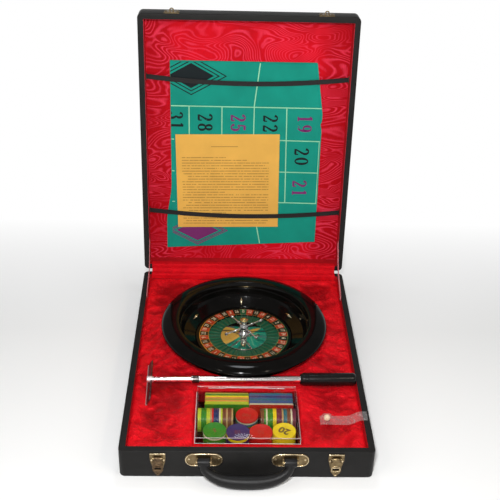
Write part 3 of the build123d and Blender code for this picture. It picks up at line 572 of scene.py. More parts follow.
# -------------------------------------------------------------------------------------- materials
class Graph:
    """Wires one procedural material on a piece's own coordinates, in metres."""

    def __init__(self, name: str) -> None:
        """Starts an empty material.

        Args:
            name: The material's name.
        """
        self.material = bpy.data.materials.new(name)
        self.material.use_nodes = True
        self.tree = self.material.node_tree
        self.tree.nodes.clear()

    def add(self, kind: str, **settings: object) -> bpy.types.Node:
        """Adds a shader node and sets its options."""
        node = self.tree.nodes.new("ShaderNode" + kind)
        for key, value in settings.items():
            setattr(node, key, value)
        return node

    def feed(self, socket: Socket, value: object) -> None:
        """Gives a socket another node's output, or a constant of its own."""
        if isinstance(value, bpy.types.NodeSocket):
            self.tree.links.new(value, socket)
        elif isinstance(value, tuple) and socket.type == "RGBA" and len(value) == 3:
            socket.default_value = (*value, 1.0)
        else:
            socket.default_value = value

    def here(
        self,
        source: str = "Object",
        centre: Point = (0, 0, 0),
        turn: Point = (0, 0, 0),
        stretch: Point = (1, 1, 1),
    ) -> Socket:
        """Place on the piece, centred, turned and stretched.

        Args:
            source: Object, or UV.
            centre: What becomes the pattern's origin.
            turn: Turn in degrees about X, Y and Z.
            stretch: Scale along X, Y and Z.

        Returns:
            The vector.
        """
        texture = self.add("TexCoord")
        moved = self.add("Mapping", vector_type="POINT")
        moved.inputs["Location"].default_value = [-c for c in centre]
        self.feed(moved.inputs["Vector"], texture.outputs[source])
        turned = self.add("Mapping", vector_type="POINT")
        turned.inputs["Rotation"].default_value = [math.radians(a) for a in turn]
        self.feed(turned.inputs["Vector"], moved.outputs["Vector"])
        scaled = self.add("Mapping", vector_type="POINT")
        scaled.inputs["Scale"].default_value = stretch
        self.feed(scaled.inputs["Vector"], turned.outputs["Vector"])
        return scaled.outputs["Vector"]

    def parts(self, vector: Socket) -> tuple[Socket, Socket, Socket]:
        """The three numbers of a vector."""
        node = self.add("SeparateXYZ")
        self.feed(node.inputs[0], vector)
        return node.outputs[0], node.outputs[1], node.outputs[2]

    def noise(
        self, where: Socket, size: float, detail: float = 3.0, rough: float = 0.5, bend: float = 0.0
    ) -> Socket:
        """Cloudy pattern.

        Args:
            where: Place on the piece.
            size: Rough distance between its clouds, in metres.
            detail: Finer layers.
            rough: Weight of the finer layers.
            bend: Distortion.

        Returns:
            A value about 0 to 1.
        """
        node = self.add("TexNoise")
        self.feed(node.inputs["Vector"], where)
        node.inputs["Scale"].default_value = 1 / size
        node.inputs["Detail"].default_value = detail
        node.inputs["Roughness"].default_value = rough
        node.inputs["Distortion"].default_value = bend
        return node.outputs[0]

    def cells(self, where: Socket, size: float, feature: str = "F1") -> Socket:
        """Pebbled pattern: distance to the nearest of scattered points."""
        node = self.add("TexVoronoi", feature=feature)
        self.feed(node.inputs["Vector"], where)
        node.inputs["Scale"].default_value = 1 / size
        return node.outputs["Distance"]

    def sum(self, operation: str, a: object, b: object = 0.0, c: object = 0.0, clamp: bool = False) -> Socket:
        """One step of arithmetic."""
        node = self.add("Math", operation=operation, use_clamp=clamp)
        self.feed(node.inputs[0], a)
        self.feed(node.inputs[1], b)
        self.feed(node.inputs[2], c)
        return node.outputs[0]

    def threads(self, value: Socket, pitch: float) -> Socket:
        """Even ribs across one coordinate, from 0 to 1."""
        wave = self.sum("SINE", self.sum("MULTIPLY", value, math.tau / pitch))
        return self.sum("MULTIPLY_ADD", wave, 0.5, 0.5)

    def band(self, value: Socket, low: float, high: float) -> Socket:
        """Turns a value from low to high into 0 to 1, held at both ends."""
        node = self.add("MapRange", clamp=True)
        self.feed(node.inputs["Value"], value)
        node.inputs["From Min"].default_value = low
        node.inputs["From Max"].default_value = high
        return node.outputs["Result"]

    def ramp(self, value: Socket, stops: Sequence[tuple[float, Colour]]) -> Socket:
        """Colours along a value.

        Args:
            value: From 0 to 1.
            stops: (place, colour) of each stop.

        Returns:
            The colour.
        """
        node = self.add("ValToRGB")
        self.feed(node.inputs[0], value)
        line = node.color_ramp.elements
        while len(line) < len(stops):
            line.new(0.5)
        for element, (place, colour) in zip(line, stops):
            element.position = place
            element.color = (*colour, 1.0)
        return node.outputs[0]

    def mix(self, share: object, a: object, b: object, way: str = "MIX") -> Socket:
        """Mixes two colours."""
        node = self.add("Mix", data_type="RGBA", blend_type=way, clamp_factor=True)
        self.feed(node.inputs[0], share)
        self.feed(node.inputs[6], a)
        self.feed(node.inputs[7], b)
        return node.outputs[2]

    def bump(
        self, height: Socket, depth: float, strength: float = 1.0, under: Socket | None = None
    ) -> Socket:
        """A relief.

        Args:
            height: From 0 to 1.
            depth: How deep it is, in metres.
            strength: How much of it counts.
            under: A relief it lies on.

        Returns:
            The normal.
        """
        node = self.add("Bump")
        node.inputs["Strength"].default_value = strength
        node.inputs["Distance"].default_value = depth
        self.feed(node.inputs["Height"], height)
        if under is not None:
            self.feed(node.inputs["Normal"], under)
        return node.outputs[0]

    def finish(self, **sockets: object) -> Material:
        """Closes the graph with a Principled surface.

        Args:
            **sockets: Its inputs by name, with _ for a space.

        Returns:
            The material.
        """
        output = self.add("OutputMaterial")
        self.tree.links.new(self.surface(sockets), output.inputs["Surface"])
        return self.material

    def surface(self, sockets: dict[str, object]) -> Socket:
        """A Principled surface from its inputs by name."""
        shader = self.add("BsdfPrincipled")
        for key, value in sockets.items():
            self.feed(shader.inputs[key.replace("_", " ")], value)
        return shader.outputs[0]

    def edge_on(self, straight: float) -> Socket:
        """How much a clear face mirrors: little seen straight on, all of it seen edge on."""
        node = self.add("LayerWeight")
        node.inputs["Blend"].default_value = 0.5
        return self.sum("MULTIPLY_ADD", self.sum("POWER", node.outputs["Facing"], 5.0), 0.9, straight)

    def glaze(self, cover: object, tint: Colour, **sockets: object) -> Material:
        """Closes the graph with a surface over clear air.

        Args:
            cover: Share of the surface that shows, from 0 to 1.
            tint: What the clear part passes.
            **sockets: Inputs of the surface.

        Returns:
            The material.
        """
        air = self.add("BsdfTransparent")
        self.feed(air.inputs["Color"], tint)
        blend = self.add("MixShader")
        self.feed(blend.inputs[0], cover)
        self.tree.links.new(air.outputs[0], blend.inputs[1])
        self.tree.links.new(self.surface(sockets), blend.inputs[2])
        output = self.add("OutputMaterial")
        self.tree.links.new(blend.outputs[0], output.inputs["Surface"])
        return self.material


def shade(colour: Colour, factor: float) -> Colour:
    """A colour made lighter or darker."""
    return tuple(min(1.0, max(0.0, part * factor)) for part in colour)


LID_SWING = -95.0  # degrees that the lid stands open
HINGE_LINE = (0.0, 0.2325, 0.0495)


@dataclass(frozen=True)
class Leatherette:
    """Black grained paper leather over the boards, polished where it is handled."""

    colour: Colour = (0.015, 0.0143, 0.0138)
    grain: float = 0.9 * MM
    depth: float = 0.10 * MM
    roughness: float = 0.46

    def material(self, name: str) -> Material:
        """Mixes the material."""
        g = Graph(name)
        here = g.here()
        pebbles = g.cells(here, self.grain)
        creases = g.noise(here, self.grain * 3.2, 4, 0.6)
        clouds = g.noise(here, 55 * MM, 4, 0.6, 0.4)
        scuffs = g.band(g.noise(here, 6 * MM, 6, 0.7, 1.2), 0.66, 0.80)
        tone = g.ramp(clouds, [(0.3, shade(self.colour, 0.8)), (0.7, shade(self.colour, 1.22))])
        tone = g.mix(g.sum("MULTIPLY", scuffs, 0.25), tone, shade(self.colour, 3.4))
        height = g.sum("ADD", g.sum("MULTIPLY", pebbles, 0.7), g.sum("MULTIPLY", creases, 0.6))
        gloss = g.sum("ADD", g.sum("MULTIPLY", clouds, 0.16), self.roughness - 0.08)
        return g.finish(
            Base_Color=tone,
            Roughness=gloss,
            IOR=1.46,
            Specular_IOR_Level=0.12,
            Normal=g.bump(height, self.depth, 0.75),
        )


@dataclass(frozen=True)
class Satin:
    """Shiny red lining satin with its fine warp and slight slubs."""

    colour: Colour = (0.60, 0.0050, 0.011)
    sheen: Colour = (1.0, 0.05, 0.07)
    thread: float = 0.42 * MM
    roughness: float = 0.38
    lustre: float = 0.18
    crumple: float = 0.0
    hollow: tuple[float, float] | None = None  # heights between which painted shade lifts: the colour is darkened in the low fold hollows and full on the ridges

    def material(self, name: str) -> Material:
        """Mixes the material."""
        g = Graph(name)
        here = g.here()
        y = g.parts(here)[1]
        slubs = g.noise(g.here(stretch=(0.12, 1, 1)), 2.4 * MM, 4, 0.65)
        clouds = g.noise(here, 42 * MM, 4, 0.55, 0.8)
        tone = g.ramp(
            clouds, [(0.28, shade(self.colour, 0.74)), (0.52, self.colour), (0.75, shade(self.colour, 1.16))]
        )
        tone = g.mix(g.sum("MULTIPLY", g.band(slubs, 0.5, 0.75), 0.30), tone, shade(self.colour, 1.35))
        # Painted shade: the colour is darkened with height, deepest in the fold hollows and full on the
        # ridges.
        if self.hollow is not None:
            rise = g.band(g.parts(here)[2], *self.hollow)
            painted_shade_steps = [(0.0, (0.36, 0.36, 0.36)), (0.40, (0.72, 0.72, 0.72)), (0.85, (1.0, 1.0, 1.0))]
            deep = g.ramp(rise, painted_shade_steps)
            tone = g.mix(1.0, tone, deep, "MULTIPLY")
        weave = g.sum("ADD", g.sum("MULTIPLY", g.threads(y, self.thread), 0.5), g.sum("MULTIPLY", slubs, 1.2))
        normal = g.bump(weave, 0.05 * MM, 0.45)
        if self.crumple > 0:
            fine = g.noise(here, 11 * MM, 3, 0.6, 1.1)
            normal = g.bump(fine, self.crumple, 0.8, normal)
            creases = self.creases(g, here)
            normal = g.bump(creases, 0.9 * self.crumple, 0.7, normal)
            # Painted highlight: the crease ridges are lightened in the colour.
            tone = g.mix(g.sum("MULTIPLY", creases, 0.34), tone, shade(self.colour, 1.7))
        gloss = g.sum("ADD", g.sum("MULTIPLY", slubs, 0.20), self.roughness - 0.10)
        return g.finish(
            Base_Color=tone,
            Metallic=self.lustre,
            Roughness=gloss,
            IOR=1.45,
            Specular_IOR_Level=0.50,
            Specular_Tint=(1.0, 0.10, 0.12),
            Sheen_Weight=0.16,
            Sheen_Roughness=0.35,
            Sheen_Tint=self.sheen,
            Normal=normal,
        )

    @staticmethod
    def creases(g: Graph, here: Socket) -> Socket:
        """Thin winding ridges, from 0 to 1, strong in some places and faint in others; bumped, and painted
        lighter as a painted highlight along the ridges.
        """
        field = g.noise(here, 34 * MM, 2.0, 0.5, 2.6)
        ridge = g.sum("SUBTRACT", 1.0, g.band(g.sum("ABSOLUTE", g.sum("SUBTRACT", field, 0.5)), 0.0, 0.055))
        second = g.noise(g.here(turn=(0, 0, 50), stretch=(1.0, 1.6, 1.0)), 21 * MM, 2.0, 0.5, 2.2)
        other = g.sum("SUBTRACT", 1.0, g.band(g.sum("ABSOLUTE", g.sum("SUBTRACT", second, 0.46)), 0.0, 0.05))
        share = g.band(g.noise(here, 48 * MM, 2, 0.5), 0.36, 0.62)
        return g.sum("MULTIPLY", g.sum("MAXIMUM", ridge, g.sum("MULTIPLY", other, 0.7)), share)


@dataclass(frozen=True)
class Moire:
    """Red watered silk: ribbed cloth with pale contour lines pressed into it."""

    colour: Colour = (0.62, 0.005, 0.014)
    line: Colour = (0.80, 0.045, 0.095)
    dark: Colour = (0.45, 0.0035, 0.009)
    pitch: float = 0.036  # of the clouds' height, from line to line
    # where painted shade beside each side wall begins, deepening over the next 30 mm
    clouds: float = 70 * MM
    side_from: float = 112 * MM  # where the stripe at each side grows deeper
    stretch: Point = (0.62, 1.25, 1.0)
    turn: Point = (-LID_SWING, 0.0, 0.0)
    centre: Point = HINGE_LINE

    def material(self, name: str) -> Material:
        """Mixes the material."""
        g = Graph(name)
        here = g.here(centre=self.centre, turn=self.turn)
        wide = g.here(centre=self.centre, turn=self.turn, stretch=self.stretch)
        x = g.parts(here)[0]
        field = g.noise(wide, self.clouds, 1.6, 0.42, 0.75)
        teeth = g.noise(g.here(centre=self.centre, turn=self.turn, stretch=(1, 0.16, 1)), 1.5 * MM, 2, 0.6)
        field = g.sum("ADD", field, g.sum("MULTIPLY", teeth, 0.010))
        phase = g.sum("FRACT", g.sum("DIVIDE", field, self.pitch))
        edge = g.sum("ABSOLUTE", g.sum("SUBTRACT", phase, 0.5))
        line = g.band(edge, 0.22, 0.48)
        strength = g.band(g.noise(here, 60 * MM, 2, 0.5, 0.5), 0.30, 0.62)
        ground = g.ramp(g.noise(here, 70 * MM, 3, 0.5), [(0.3, self.dark), (0.62, self.colour)])
        # Painted shade: the ground darkens towards each side wall of the lid.
        sides = g.band(g.sum("ABSOLUTE", x), self.side_from, self.side_from + 30 * MM)
        ground = g.mix(g.sum("MULTIPLY", sides, 0.8), ground, shade(self.dark, 0.80))
        tone = g.mix(g.sum("MULTIPLY", line, g.sum("MULTIPLY_ADD", strength, 0.62, 0.18)), ground, self.line)
        ribs = g.threads(x, 0.75 * MM)
        normal = g.bump(g.sum("ADD", g.sum("MULTIPLY", ribs, 0.6), line), 0.05 * MM, 0.35)
        gloss = g.sum("SUBTRACT", 0.52, g.sum("MULTIPLY", line, 0.14))
        return g.finish(
            Base_Color=tone,
            Roughness=gloss,
            Specular_IOR_Level=0.35,
            Specular_Tint=(1.0, 0.12, 0.14),
            Sheen_Weight=0.08,
            Sheen_Roughness=0.4,
            Sheen_Tint=(1.0, 0.25, 0.3),
            Normal=normal,
        )


@dataclass(frozen=True)
class Bakelite:
    """Black moulded resin with a deep polish and faint turning marks."""

    colour: Colour = (0.0028, 0.0025, 0.0022)
    centre: Point = (0.0, 0.0, 0.0)
    roughness: float = 0.09
    level: float = 0.14

    def material(self, name: str) -> Material:
        """Mixes the material."""
        g = Graph(name)
        here = g.here(centre=self.centre)
        haze = g.noise(here, 26 * MM, 5, 0.6, 0.4)
        wipes = g.noise(g.here(centre=self.centre, turn=(0, 0, 28), stretch=(0.08, 1, 1)), 1.1 * MM, 4, 0.7)
        tone = g.ramp(haze, [(0.35, shade(self.colour, 0.8)), (0.75, shade(self.colour, 1.5))])
        gloss = g.sum("ADD", g.sum("MULTIPLY", haze, 0.05), g.sum("MULTIPLY", wipes, 0.05))
        gloss = g.sum("ADD", gloss, self.roughness - 0.05)
        return g.finish(
            Base_Color=tone,
            Roughness=gloss,
            IOR=1.5,
            Specular_IOR_Level=self.level,
            Normal=g.bump(haze, 0.06 * MM, 0.10),
        )


@dataclass(frozen=True)
class Metal:
    """A plated or bare metal: bright, brushed or aged."""

    colour: Colour = (0.62, 0.60, 0.58)
    dull: Colour = (0.30, 0.28, 0.26)
    roughness: float = 0.16
    age: float = 0.3  # share of the surface that has dulled
    brushed: float = 0.0
    spot: float = 3.0 * MM

    def material(self, name: str) -> Material:
        """Mixes the material."""
        g = Graph(name)
        here = g.here()
        cloudy = g.noise(here, self.spot * 3, 6, 0.65, 0.8)
        patina = g.band(cloudy, 0.62 - self.age * 0.5, 0.86 - self.age * 0.4)
        specks = g.noise(here, self.spot * 0.4, 4, 0.7)
        tone = g.mix(patina, self.colour, self.dull)
        tone = g.mix(g.sum("MULTIPLY", specks, 0.18), tone, shade(self.colour, 1.15))
        gloss = g.sum("ADD", g.sum("MULTIPLY", patina, 0.30 * self.age + 0.05), self.roughness)
        gloss = g.sum("ADD", gloss, g.sum("MULTIPLY", specks, 0.05), clamp=True)
        relief = specks
        if self.brushed > 0:
            relief = g.noise(g.here(stretch=(0.03, 1, 1)), 0.35 * MM, 3, 0.7)
        return g.finish(
            Base_Color=tone,
            Metallic=1.0,
            Roughness=gloss,
            Normal=g.bump(relief, 0.02 * MM, 0.12 + self.brushed * 0.4),
        )


@dataclass(frozen=True)
class Mirror:
    """Polished nickel plate."""

    colour: Colour = (0.58, 0.60, 0.52)
    roughness: float = 0.035
    centre: Point = (0.0, 0.0, 0.0)

    def material(self, name: str) -> Material:
        """Mixes the material."""
        g = Graph(name)
        here = g.here(centre=self.centre)
        haze = g.noise(here, 14 * MM, 5, 0.6, 0.5)
        wipes = g.noise(g.here(centre=self.centre, turn=(0, 0, -20), stretch=(0.05, 1, 1)), 0.6 * MM, 4, 0.7)
        tone = g.mix(g.band(haze, 0.45, 0.85), self.colour, shade(self.colour, 0.86))
        gloss = g.sum("ADD", g.sum("MULTIPLY", wipes, 0.05), self.roughness)
        return g.finish(Base_Color=tone, Metallic=1.0, Roughness=gloss, Normal=g.bump(haze, 0.03 * MM, 0.05))


@dataclass(frozen=True)
class Plastic:
    """Moulded or pressed plastic in one colour, slightly cloudy."""

    colour: Colour = (0.5, 0.5, 0.5)
    roughness: float = 0.28
    grain: float = 0.0  # depth of a fine grain
    grain_size: float = 0.8 * MM
    mottle: float = 0.12
    level: float = 0.5

    def material(self, name: str) -> Material:
        """Mixes the material."""
        g = Graph(name)
        here = g.here()
        clouds = g.noise(here, 9 * MM, 4, 0.6, 0.3)
        low, high = shade(self.colour, 1 - self.mottle), shade(self.colour, 1 + self.mottle)
        tone = g.ramp(clouds, [(0.3, low), (0.7, high)])
        fine = g.cells(here, self.grain_size) if self.grain > 0 else g.noise(here, 1.2 * MM, 3, 0.6)
        gloss = g.sum("ADD", g.sum("MULTIPLY", clouds, 0.12), self.roughness - 0.04)
        return g.finish(
            Base_Color=tone,
            Roughness=gloss,
            IOR=1.49,
            Specular_IOR_Level=self.level,
            Normal=g.bump(fine, max(self.grain, 0.01 * MM), 0.5 if self.grain > 0 else 0.12),
        )


@dataclass(frozen=True)
class Clear:
    """Clear moulded plastic, a little scratched, as a thin wall that light passes."""

    tint: Colour = (0.97, 0.975, 0.97)
    roughness: float = 0.04
    haze: float = 0.0

    def material(self, name: str) -> Material:
        """Mixes the material."""
        g = Graph(name)
        drawn = g.here(turn=(0, 0, 40), stretch=(0.05, 1, 1))
        scratches = g.band(g.noise(drawn, 0.5 * MM, 4, 0.75), 0.60, 0.85)
        smears = g.band(g.noise(g.here(), 16 * MM, 4, 0.6), 0.45, 0.85)
        cover = g.sum("ADD", g.edge_on(0.010), g.sum("MULTIPLY_ADD", smears, 0.012, self.haze))
        return g.glaze(
            g.sum("MULTIPLY_ADD", scratches, 0.04, cover),
            self.tint,
            Base_Color=(0.92, 0.91, 0.91),
            Metallic=1.0,
            Roughness=g.sum("MULTIPLY_ADD", scratches, 0.12, self.roughness),
            Normal=g.bump(scratches, 0.01 * MM, 0.2),
        )


@dataclass(frozen=True)
class BrightEdge:
    """Painted highlight on the edge of a clear sheet, where it gathers the light: a pale surface over clear
    air.
    """

    colour: Colour = (0.92, 0.80, 0.82)
    cover: float = 0.80
    lines: tuple[float, ...] = ()  # heights of the painted highlight lines; without any the whole edge is painted bright
    wide: float = 0.75 * MM

    def material(self, name: str) -> Material:
        """Mixes the material."""
        g = Graph(name)
        streaks = g.noise(g.here(), 9 * MM, 4, 0.6)
        share = g.sum("MULTIPLY_ADD", streaks, 0.7, self.cover - 0.35)
        if self.lines:
            z = g.parts(g.here())[2]
            near = 0.26
            for line in self.lines:
                off = g.sum("ABSOLUTE", g.sum("SUBTRACT", z, line))
                near = g.sum("MAXIMUM", near, g.sum("SUBTRACT", 1.0, g.band(off, 0.5 * self.wide, self.wide)))
            share = g.sum("MULTIPLY", share, near)
        return g.glaze(
            share,
            (0.97, 0.97, 0.97),
            Base_Color=g.mix(streaks, self.colour, shade(self.colour, 1.08)),
            Roughness=0.22,
            Specular_IOR_Level=0.6,
        )


@dataclass(frozen=True)
class Film:
    """Thin crinkled clear film, seen mostly by its glints."""

    colour: Colour = (0.90, 0.86, 0.85)
    cover: float = 0.05

    def material(self, name: str) -> Material:
        """Mixes the material."""
        g = Graph(name)
        folds = g.noise(g.here(turn=(0, 0, 62), stretch=(0.40, 1, 1)), 4.2 * MM, 5, 0.66, 1.6)
        # Painted glints: along these bands the film is whiter and less clear.
        painted_glints = g.band(folds, 0.58, 0.70)
        cover = g.sum("ADD", g.edge_on(0.02), g.sum("MULTIPLY_ADD", painted_glints, 0.30, self.cover))
        return g.glaze(
            cover,
            (0.96, 0.95, 0.95),
            Base_Color=g.mix(painted_glints, self.colour, (1.0, 0.97, 0.95)),
            Roughness=g.sum("MULTIPLY_ADD", g.noise(g.here(), 3 * MM, 3), 0.2, 0.10),
            Specular_IOR_Level=1.0,
            Normal=g.bump(folds, 0.9 * MM, 1.0),
        )


@dataclass(frozen=True)
class Woven:
    """Woven or felted cloth in one colour."""

    colour: Colour = (0.005, 0.29, 0.216)
    thread: float = 0.5 * MM
    fuzz: float = 0.3
    roughness: float = 0.85
    centre: Point = (0.0, 0.0, 0.0)
    turn: Point = (0.0, 0.0, 0.0)

    def material(self, name: str) -> Material:
        """Mixes the material."""
        g = Graph(name)
        here = g.here(centre=self.centre, turn=self.turn)
        x, y, _ = g.parts(here)
        warp, weft = g.threads(x, self.thread), g.threads(y, self.thread)
        weave = g.sum("MULTIPLY", warp, weft)
        fibres = g.noise(here, self.thread * 1.8, 5, 0.7, 0.6)
        clouds = g.noise(here, 60 * MM, 4, 0.55)
        tone = g.ramp(clouds, [(0.3, shade(self.colour, 0.86)), (0.7, shade(self.colour, 1.12))])
        tone = g.mix(g.sum("MULTIPLY", fibres, 0.35), tone, shade(self.colour, 0.72))
        height = g.sum("ADD", weave, g.sum("MULTIPLY", fibres, 0.9))
        return g.finish(
            Base_Color=tone,
            Roughness=self.roughness,
            Specular_IOR_Level=0.22,
            Sheen_Weight=self.fuzz,
            Sheen_Roughness=0.5,
            Sheen_Tint=shade(self.colour, 2.2),
            Normal=g.bump(height, 0.08 * MM, 0.45),
        )


@dataclass(frozen=True)
class Ribbed:
    """Narrow elastic or ribbon with ribs across its width."""

    colour: Colour = (0.012, 0.011, 0.011)
    pitch: float = 1.1 * MM
    roughness: float = 0.7
    sheen: float = 0.2

    def material(self, name: str) -> Material:
        """Mixes the material."""
        g = Graph(name)
        u, v, _ = g.parts(g.here("UV"))
        along = g.threads(u, self.pitch)
        across = g.threads(v, self.pitch * 0.6)
        fibres = g.noise(g.here(), 1.0 * MM, 4, 0.7)
        # Painted highlight: where the ribs cross, the colour is lightened.
        painted_rib_shine = g.sum("MULTIPLY", g.sum("MULTIPLY", along, across), 0.6)
        tone = g.mix(painted_rib_shine, self.colour, shade(self.colour, 1.9))
        tone = g.mix(g.sum("MULTIPLY", fibres, 0.4), tone, shade(self.colour, 0.6))
        height = g.sum("ADD", g.sum("MULTIPLY", along, 0.8), g.sum("MULTIPLY", across, 0.4))
        return g.finish(
            Base_Color=tone,
            Roughness=self.roughness,
            Specular_IOR_Level=0.3,
            Sheen_Weight=self.sheen,
            Sheen_Roughness=0.4,
            Sheen_Tint=shade(self.colour, 3.0),
            Normal=g.bump(height, 0.12 * MM, 0.6),
        )


@dataclass(frozen=True)
class Plywood:
    """Bare birch plywood of the hidden boards."""

    colour: Colour = (0.50, 0.33, 0.17)
    layer: float = 1.6 * MM

    def material(self, name: str) -> Material:
        """Mixes the material."""
        g = Graph(name)
        grain = g.noise(g.here(stretch=(0.06, 1, 1)), 2.2 * MM, 5, 0.65, 0.8)
        _, _, z = g.parts(g.here())
        plies = g.threads(z, self.layer * 2)
        tone = g.ramp(grain, [(0.3, shade(self.colour, 0.7)), (0.7, shade(self.colour, 1.15))])
        tone = g.mix(g.sum("MULTIPLY", plies, 0.35), tone, shade(self.colour, 0.6))
        return g.finish(Base_Color=tone, Roughness=0.62, Normal=g.bump(grain, 0.08 * MM, 0.4))


@dataclass(frozen=True)
class Board:
    """Grey pulp board."""

    colour: Colour = (0.30, 0.27, 0.23)

    def material(self, name: str) -> Material:
        """Mixes the material."""
        g = Graph(name)
        fibres = g.noise(g.here(), 1.6 * MM, 6, 0.7, 0.5)
        tone = g.ramp(fibres, [(0.3, shade(self.colour, 0.8)), (0.7, shade(self.colour, 1.15))])
        return g.finish(Base_Color=tone, Roughness=0.85, Normal=g.bump(fibres, 0.06 * MM, 0.4))


@dataclass(frozen=True)
class RulesPaper:
    """Golden paper with a heading and rows of small print too fine to read."""

    paper: Colour = (0.73, 0.40, 0.075)
    ink: Colour = (0.045, 0.022, 0.010)
    rows: int = 35

    def material(self, name: str) -> Material:
        """Mixes the material."""
        g = Graph(name)
        u, v, _ = g.parts(g.here("UV"))
        fibres = g.noise(g.here(), 1.4 * MM, 5, 0.65)
        clouds = g.noise(g.here(), 45 * MM, 3, 0.5)
        paper = g.ramp(clouds, [(0.3, shade(self.paper, 0.93)), (0.7, shade(self.paper, 1.06))])
        paper = g.mix(g.sum("MULTIPLY", fibres, 0.16), paper, shade(self.paper, 0.7))
        row = g.sum("MULTIPLY", v, float(self.rows))
        line = g.sum("ABSOLUTE", g.sum("SUBTRACT", g.sum("FRACT", row), 0.5))
        on_row = g.band(line, 0.20, 0.06)
        number = g.sum("FLOOR", row)
        words_at = g.add("CombineXYZ")
        g.feed(words_at.inputs[0], g.sum("MULTIPLY", u, 62.0))
        g.feed(words_at.inputs[1], g.sum("MULTIPLY", number, 7.3))
        words = self.scatter(g, words_at.outputs[0], 1.0)
        letters_at = g.add("CombineXYZ")
        g.feed(letters_at.inputs[0], g.sum("MULTIPLY", u, 260.0))
        g.feed(letters_at.inputs[1], g.sum("MULTIPLY", v, 150.0))
        letters = self.scatter(g, letters_at.outputs[0], 1.0)
        ends_at = g.add("CombineXYZ")
        g.feed(ends_at.inputs[0], g.sum("MULTIPLY", number, 3.7))
        starts = self.scatter(g, ends_at.outputs[0], 1.0)
        left = g.sum("MULTIPLY_ADD", g.band(starts, 0.50, 0.56), 0.055, 0.055)
        right = g.sum("MULTIPLY_ADD", g.band(starts, 0.46, 0.40), -0.42, 0.90)
        inside = g.sum("MULTIPLY", g.sum("GREATER_THAN", u, left), g.sum("LESS_THAN", u, right))
        ends = g.sum("MULTIPLY", g.band(v, 0.225, 0.232), g.band(v, 0.965, 0.958))
        inside = g.sum("MULTIPLY", inside, ends)
        print_ = g.sum("MULTIPLY", on_row, g.sum("MULTIPLY", inside, g.band(words, 0.36, 0.46)))
        print_ = g.sum("MULTIPLY", print_, g.sum("MULTIPLY_ADD", letters, 0.9, 0.20), clamp=True)
        rule = g.sum("SUBTRACT", 1.0, g.band(g.sum("ABSOLUTE", g.sum("SUBTRACT", v, 0.128)), 0.0018, 0.0032))
        across = g.sum("MULTIPLY", g.sum("GREATER_THAN", u, 0.34), g.sum("LESS_THAN", u, 0.60))
        print_ = g.sum("MAXIMUM", print_, g.sum("MULTIPLY", g.sum("MULTIPLY", rule, across), 0.8))
        tone = g.mix(g.sum("MULTIPLY", print_, 0.90), paper, self.ink)
        return g.finish(
            Base_Color=tone, Roughness=0.78, Specular_IOR_Level=0.25, Normal=g.bump(fibres, 0.04 * MM, 0.3)
        )

    @staticmethod
    def scatter(g: Graph, where: Socket, size: float) -> Socket:
        """Cloudy values on a plane of its own."""
        return g.noise(where, size, 1.0, 0.5)


@dataclass(frozen=True)
class StageWhite:
    """Plain pale floor that keeps the object's shadow."""

    colour: Colour = (0.93, 0.93, 0.925)
    plain_from: float = 0.12  # how far back the even white begins
    plain_at: float = 0.50
    far_from: float = 0.9  # how far out it begins on every side
    far_at: float = 1.5

    def material(self, name: str) -> Material:
        """Mixes the material: a lit floor that turns into an even white further off."""
        g = Graph(name)
        here = g.here()
        tone = g.ramp(g.noise(here, 0.35, 3, 0.5), [(0.3, shade(self.colour, 0.99)), (0.7, self.colour)])
        path = g.add("LightPath")
        seen = g.sum("MAXIMUM", path.outputs["Is Camera Ray"], path.outputs["Is Glossy Ray"])
        seen = g.sum("MAXIMUM", seen, path.outputs["Is Transmission Ray"])
        x, y, _ = g.parts(here)
        behind = g.sum("MULTIPLY", seen, g.band(y, self.plain_from, self.plain_at))
        reach = g.sum("ADD", g.sum("MULTIPLY", x, x), g.sum("MULTIPLY", y, y))
        outside = g.band(reach, self.far_from**2, self.far_at**2)
        outside = g.sum("MULTIPLY", outside, path.outputs["Is Camera Ray"])
        white = g.add("Emission")
        blend = g.add("MixShader")
        g.feed(blend.inputs[0], g.sum("MAXIMUM", behind, outside))
        lit = g.surface({"Base_Color": tone, "Roughness": 0.9, "Specular_IOR_Level": 0.1})
        g.tree.links.new(lit, blend.inputs[1])
        g.tree.links.new(white.outputs[0], blend.inputs[2])
        g.tree.links.new(blend.outputs[0], g.add("OutputMaterial").inputs["Surface"])
        return g.material


# -------------------------------------------------------------------------------------- setting pieces down
FRAME: dict = {}


def lid_open() -> Matrix:
    """How the lid and all that it carries swing from shut to open."""
    hinge = Vector(HINGE_LINE)
    turn = Matrix.Rotation(math.radians(LID_SWING), 4, "X")
    return Matrix.Translation(hinge) @ turn @ Matrix.Translation(-hinge)


def swing(piece: Piece) -> Piece:
    """Swings a piece that was made on the shut lid to where the open lid holds it."""
    piece.data.transform(lid_open())
    return piece


def dress(piece: Piece, *materials: Material) -> Piece:
    """Gives a piece its materials, the first one on every face.

    Args:
        piece: The piece.
        *materials: Its materials in the order of its slots.

    Returns:
        The same piece.
    """
    piece.data.materials.clear()
    for material in materials:
        piece.data.materials.append(material)
    return piece


def mount(piece: Piece, body: str, slot: str, *nodes: str) -> Piece:
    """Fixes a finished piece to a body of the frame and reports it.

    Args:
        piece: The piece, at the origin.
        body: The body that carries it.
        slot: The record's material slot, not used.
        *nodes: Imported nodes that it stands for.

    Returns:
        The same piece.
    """
    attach(piece, body)
    if nodes:
        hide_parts(*nodes)
    log.info("%s: %d faces on %s", piece.name, len(piece.data.polygons), body)
    return piece


def finish_node(node: str, material: Material) -> None:
    """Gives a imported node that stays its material.

    Args:
        node: The node.
        material: Its material.
    """
    piece = FRAME["nodes"][node]
    if not piece.material_slots:
        piece.data.materials.append(material)
    for slot in piece.material_slots:
        slot.material = material
    log.info("%s: kept, %s", node, material.name)


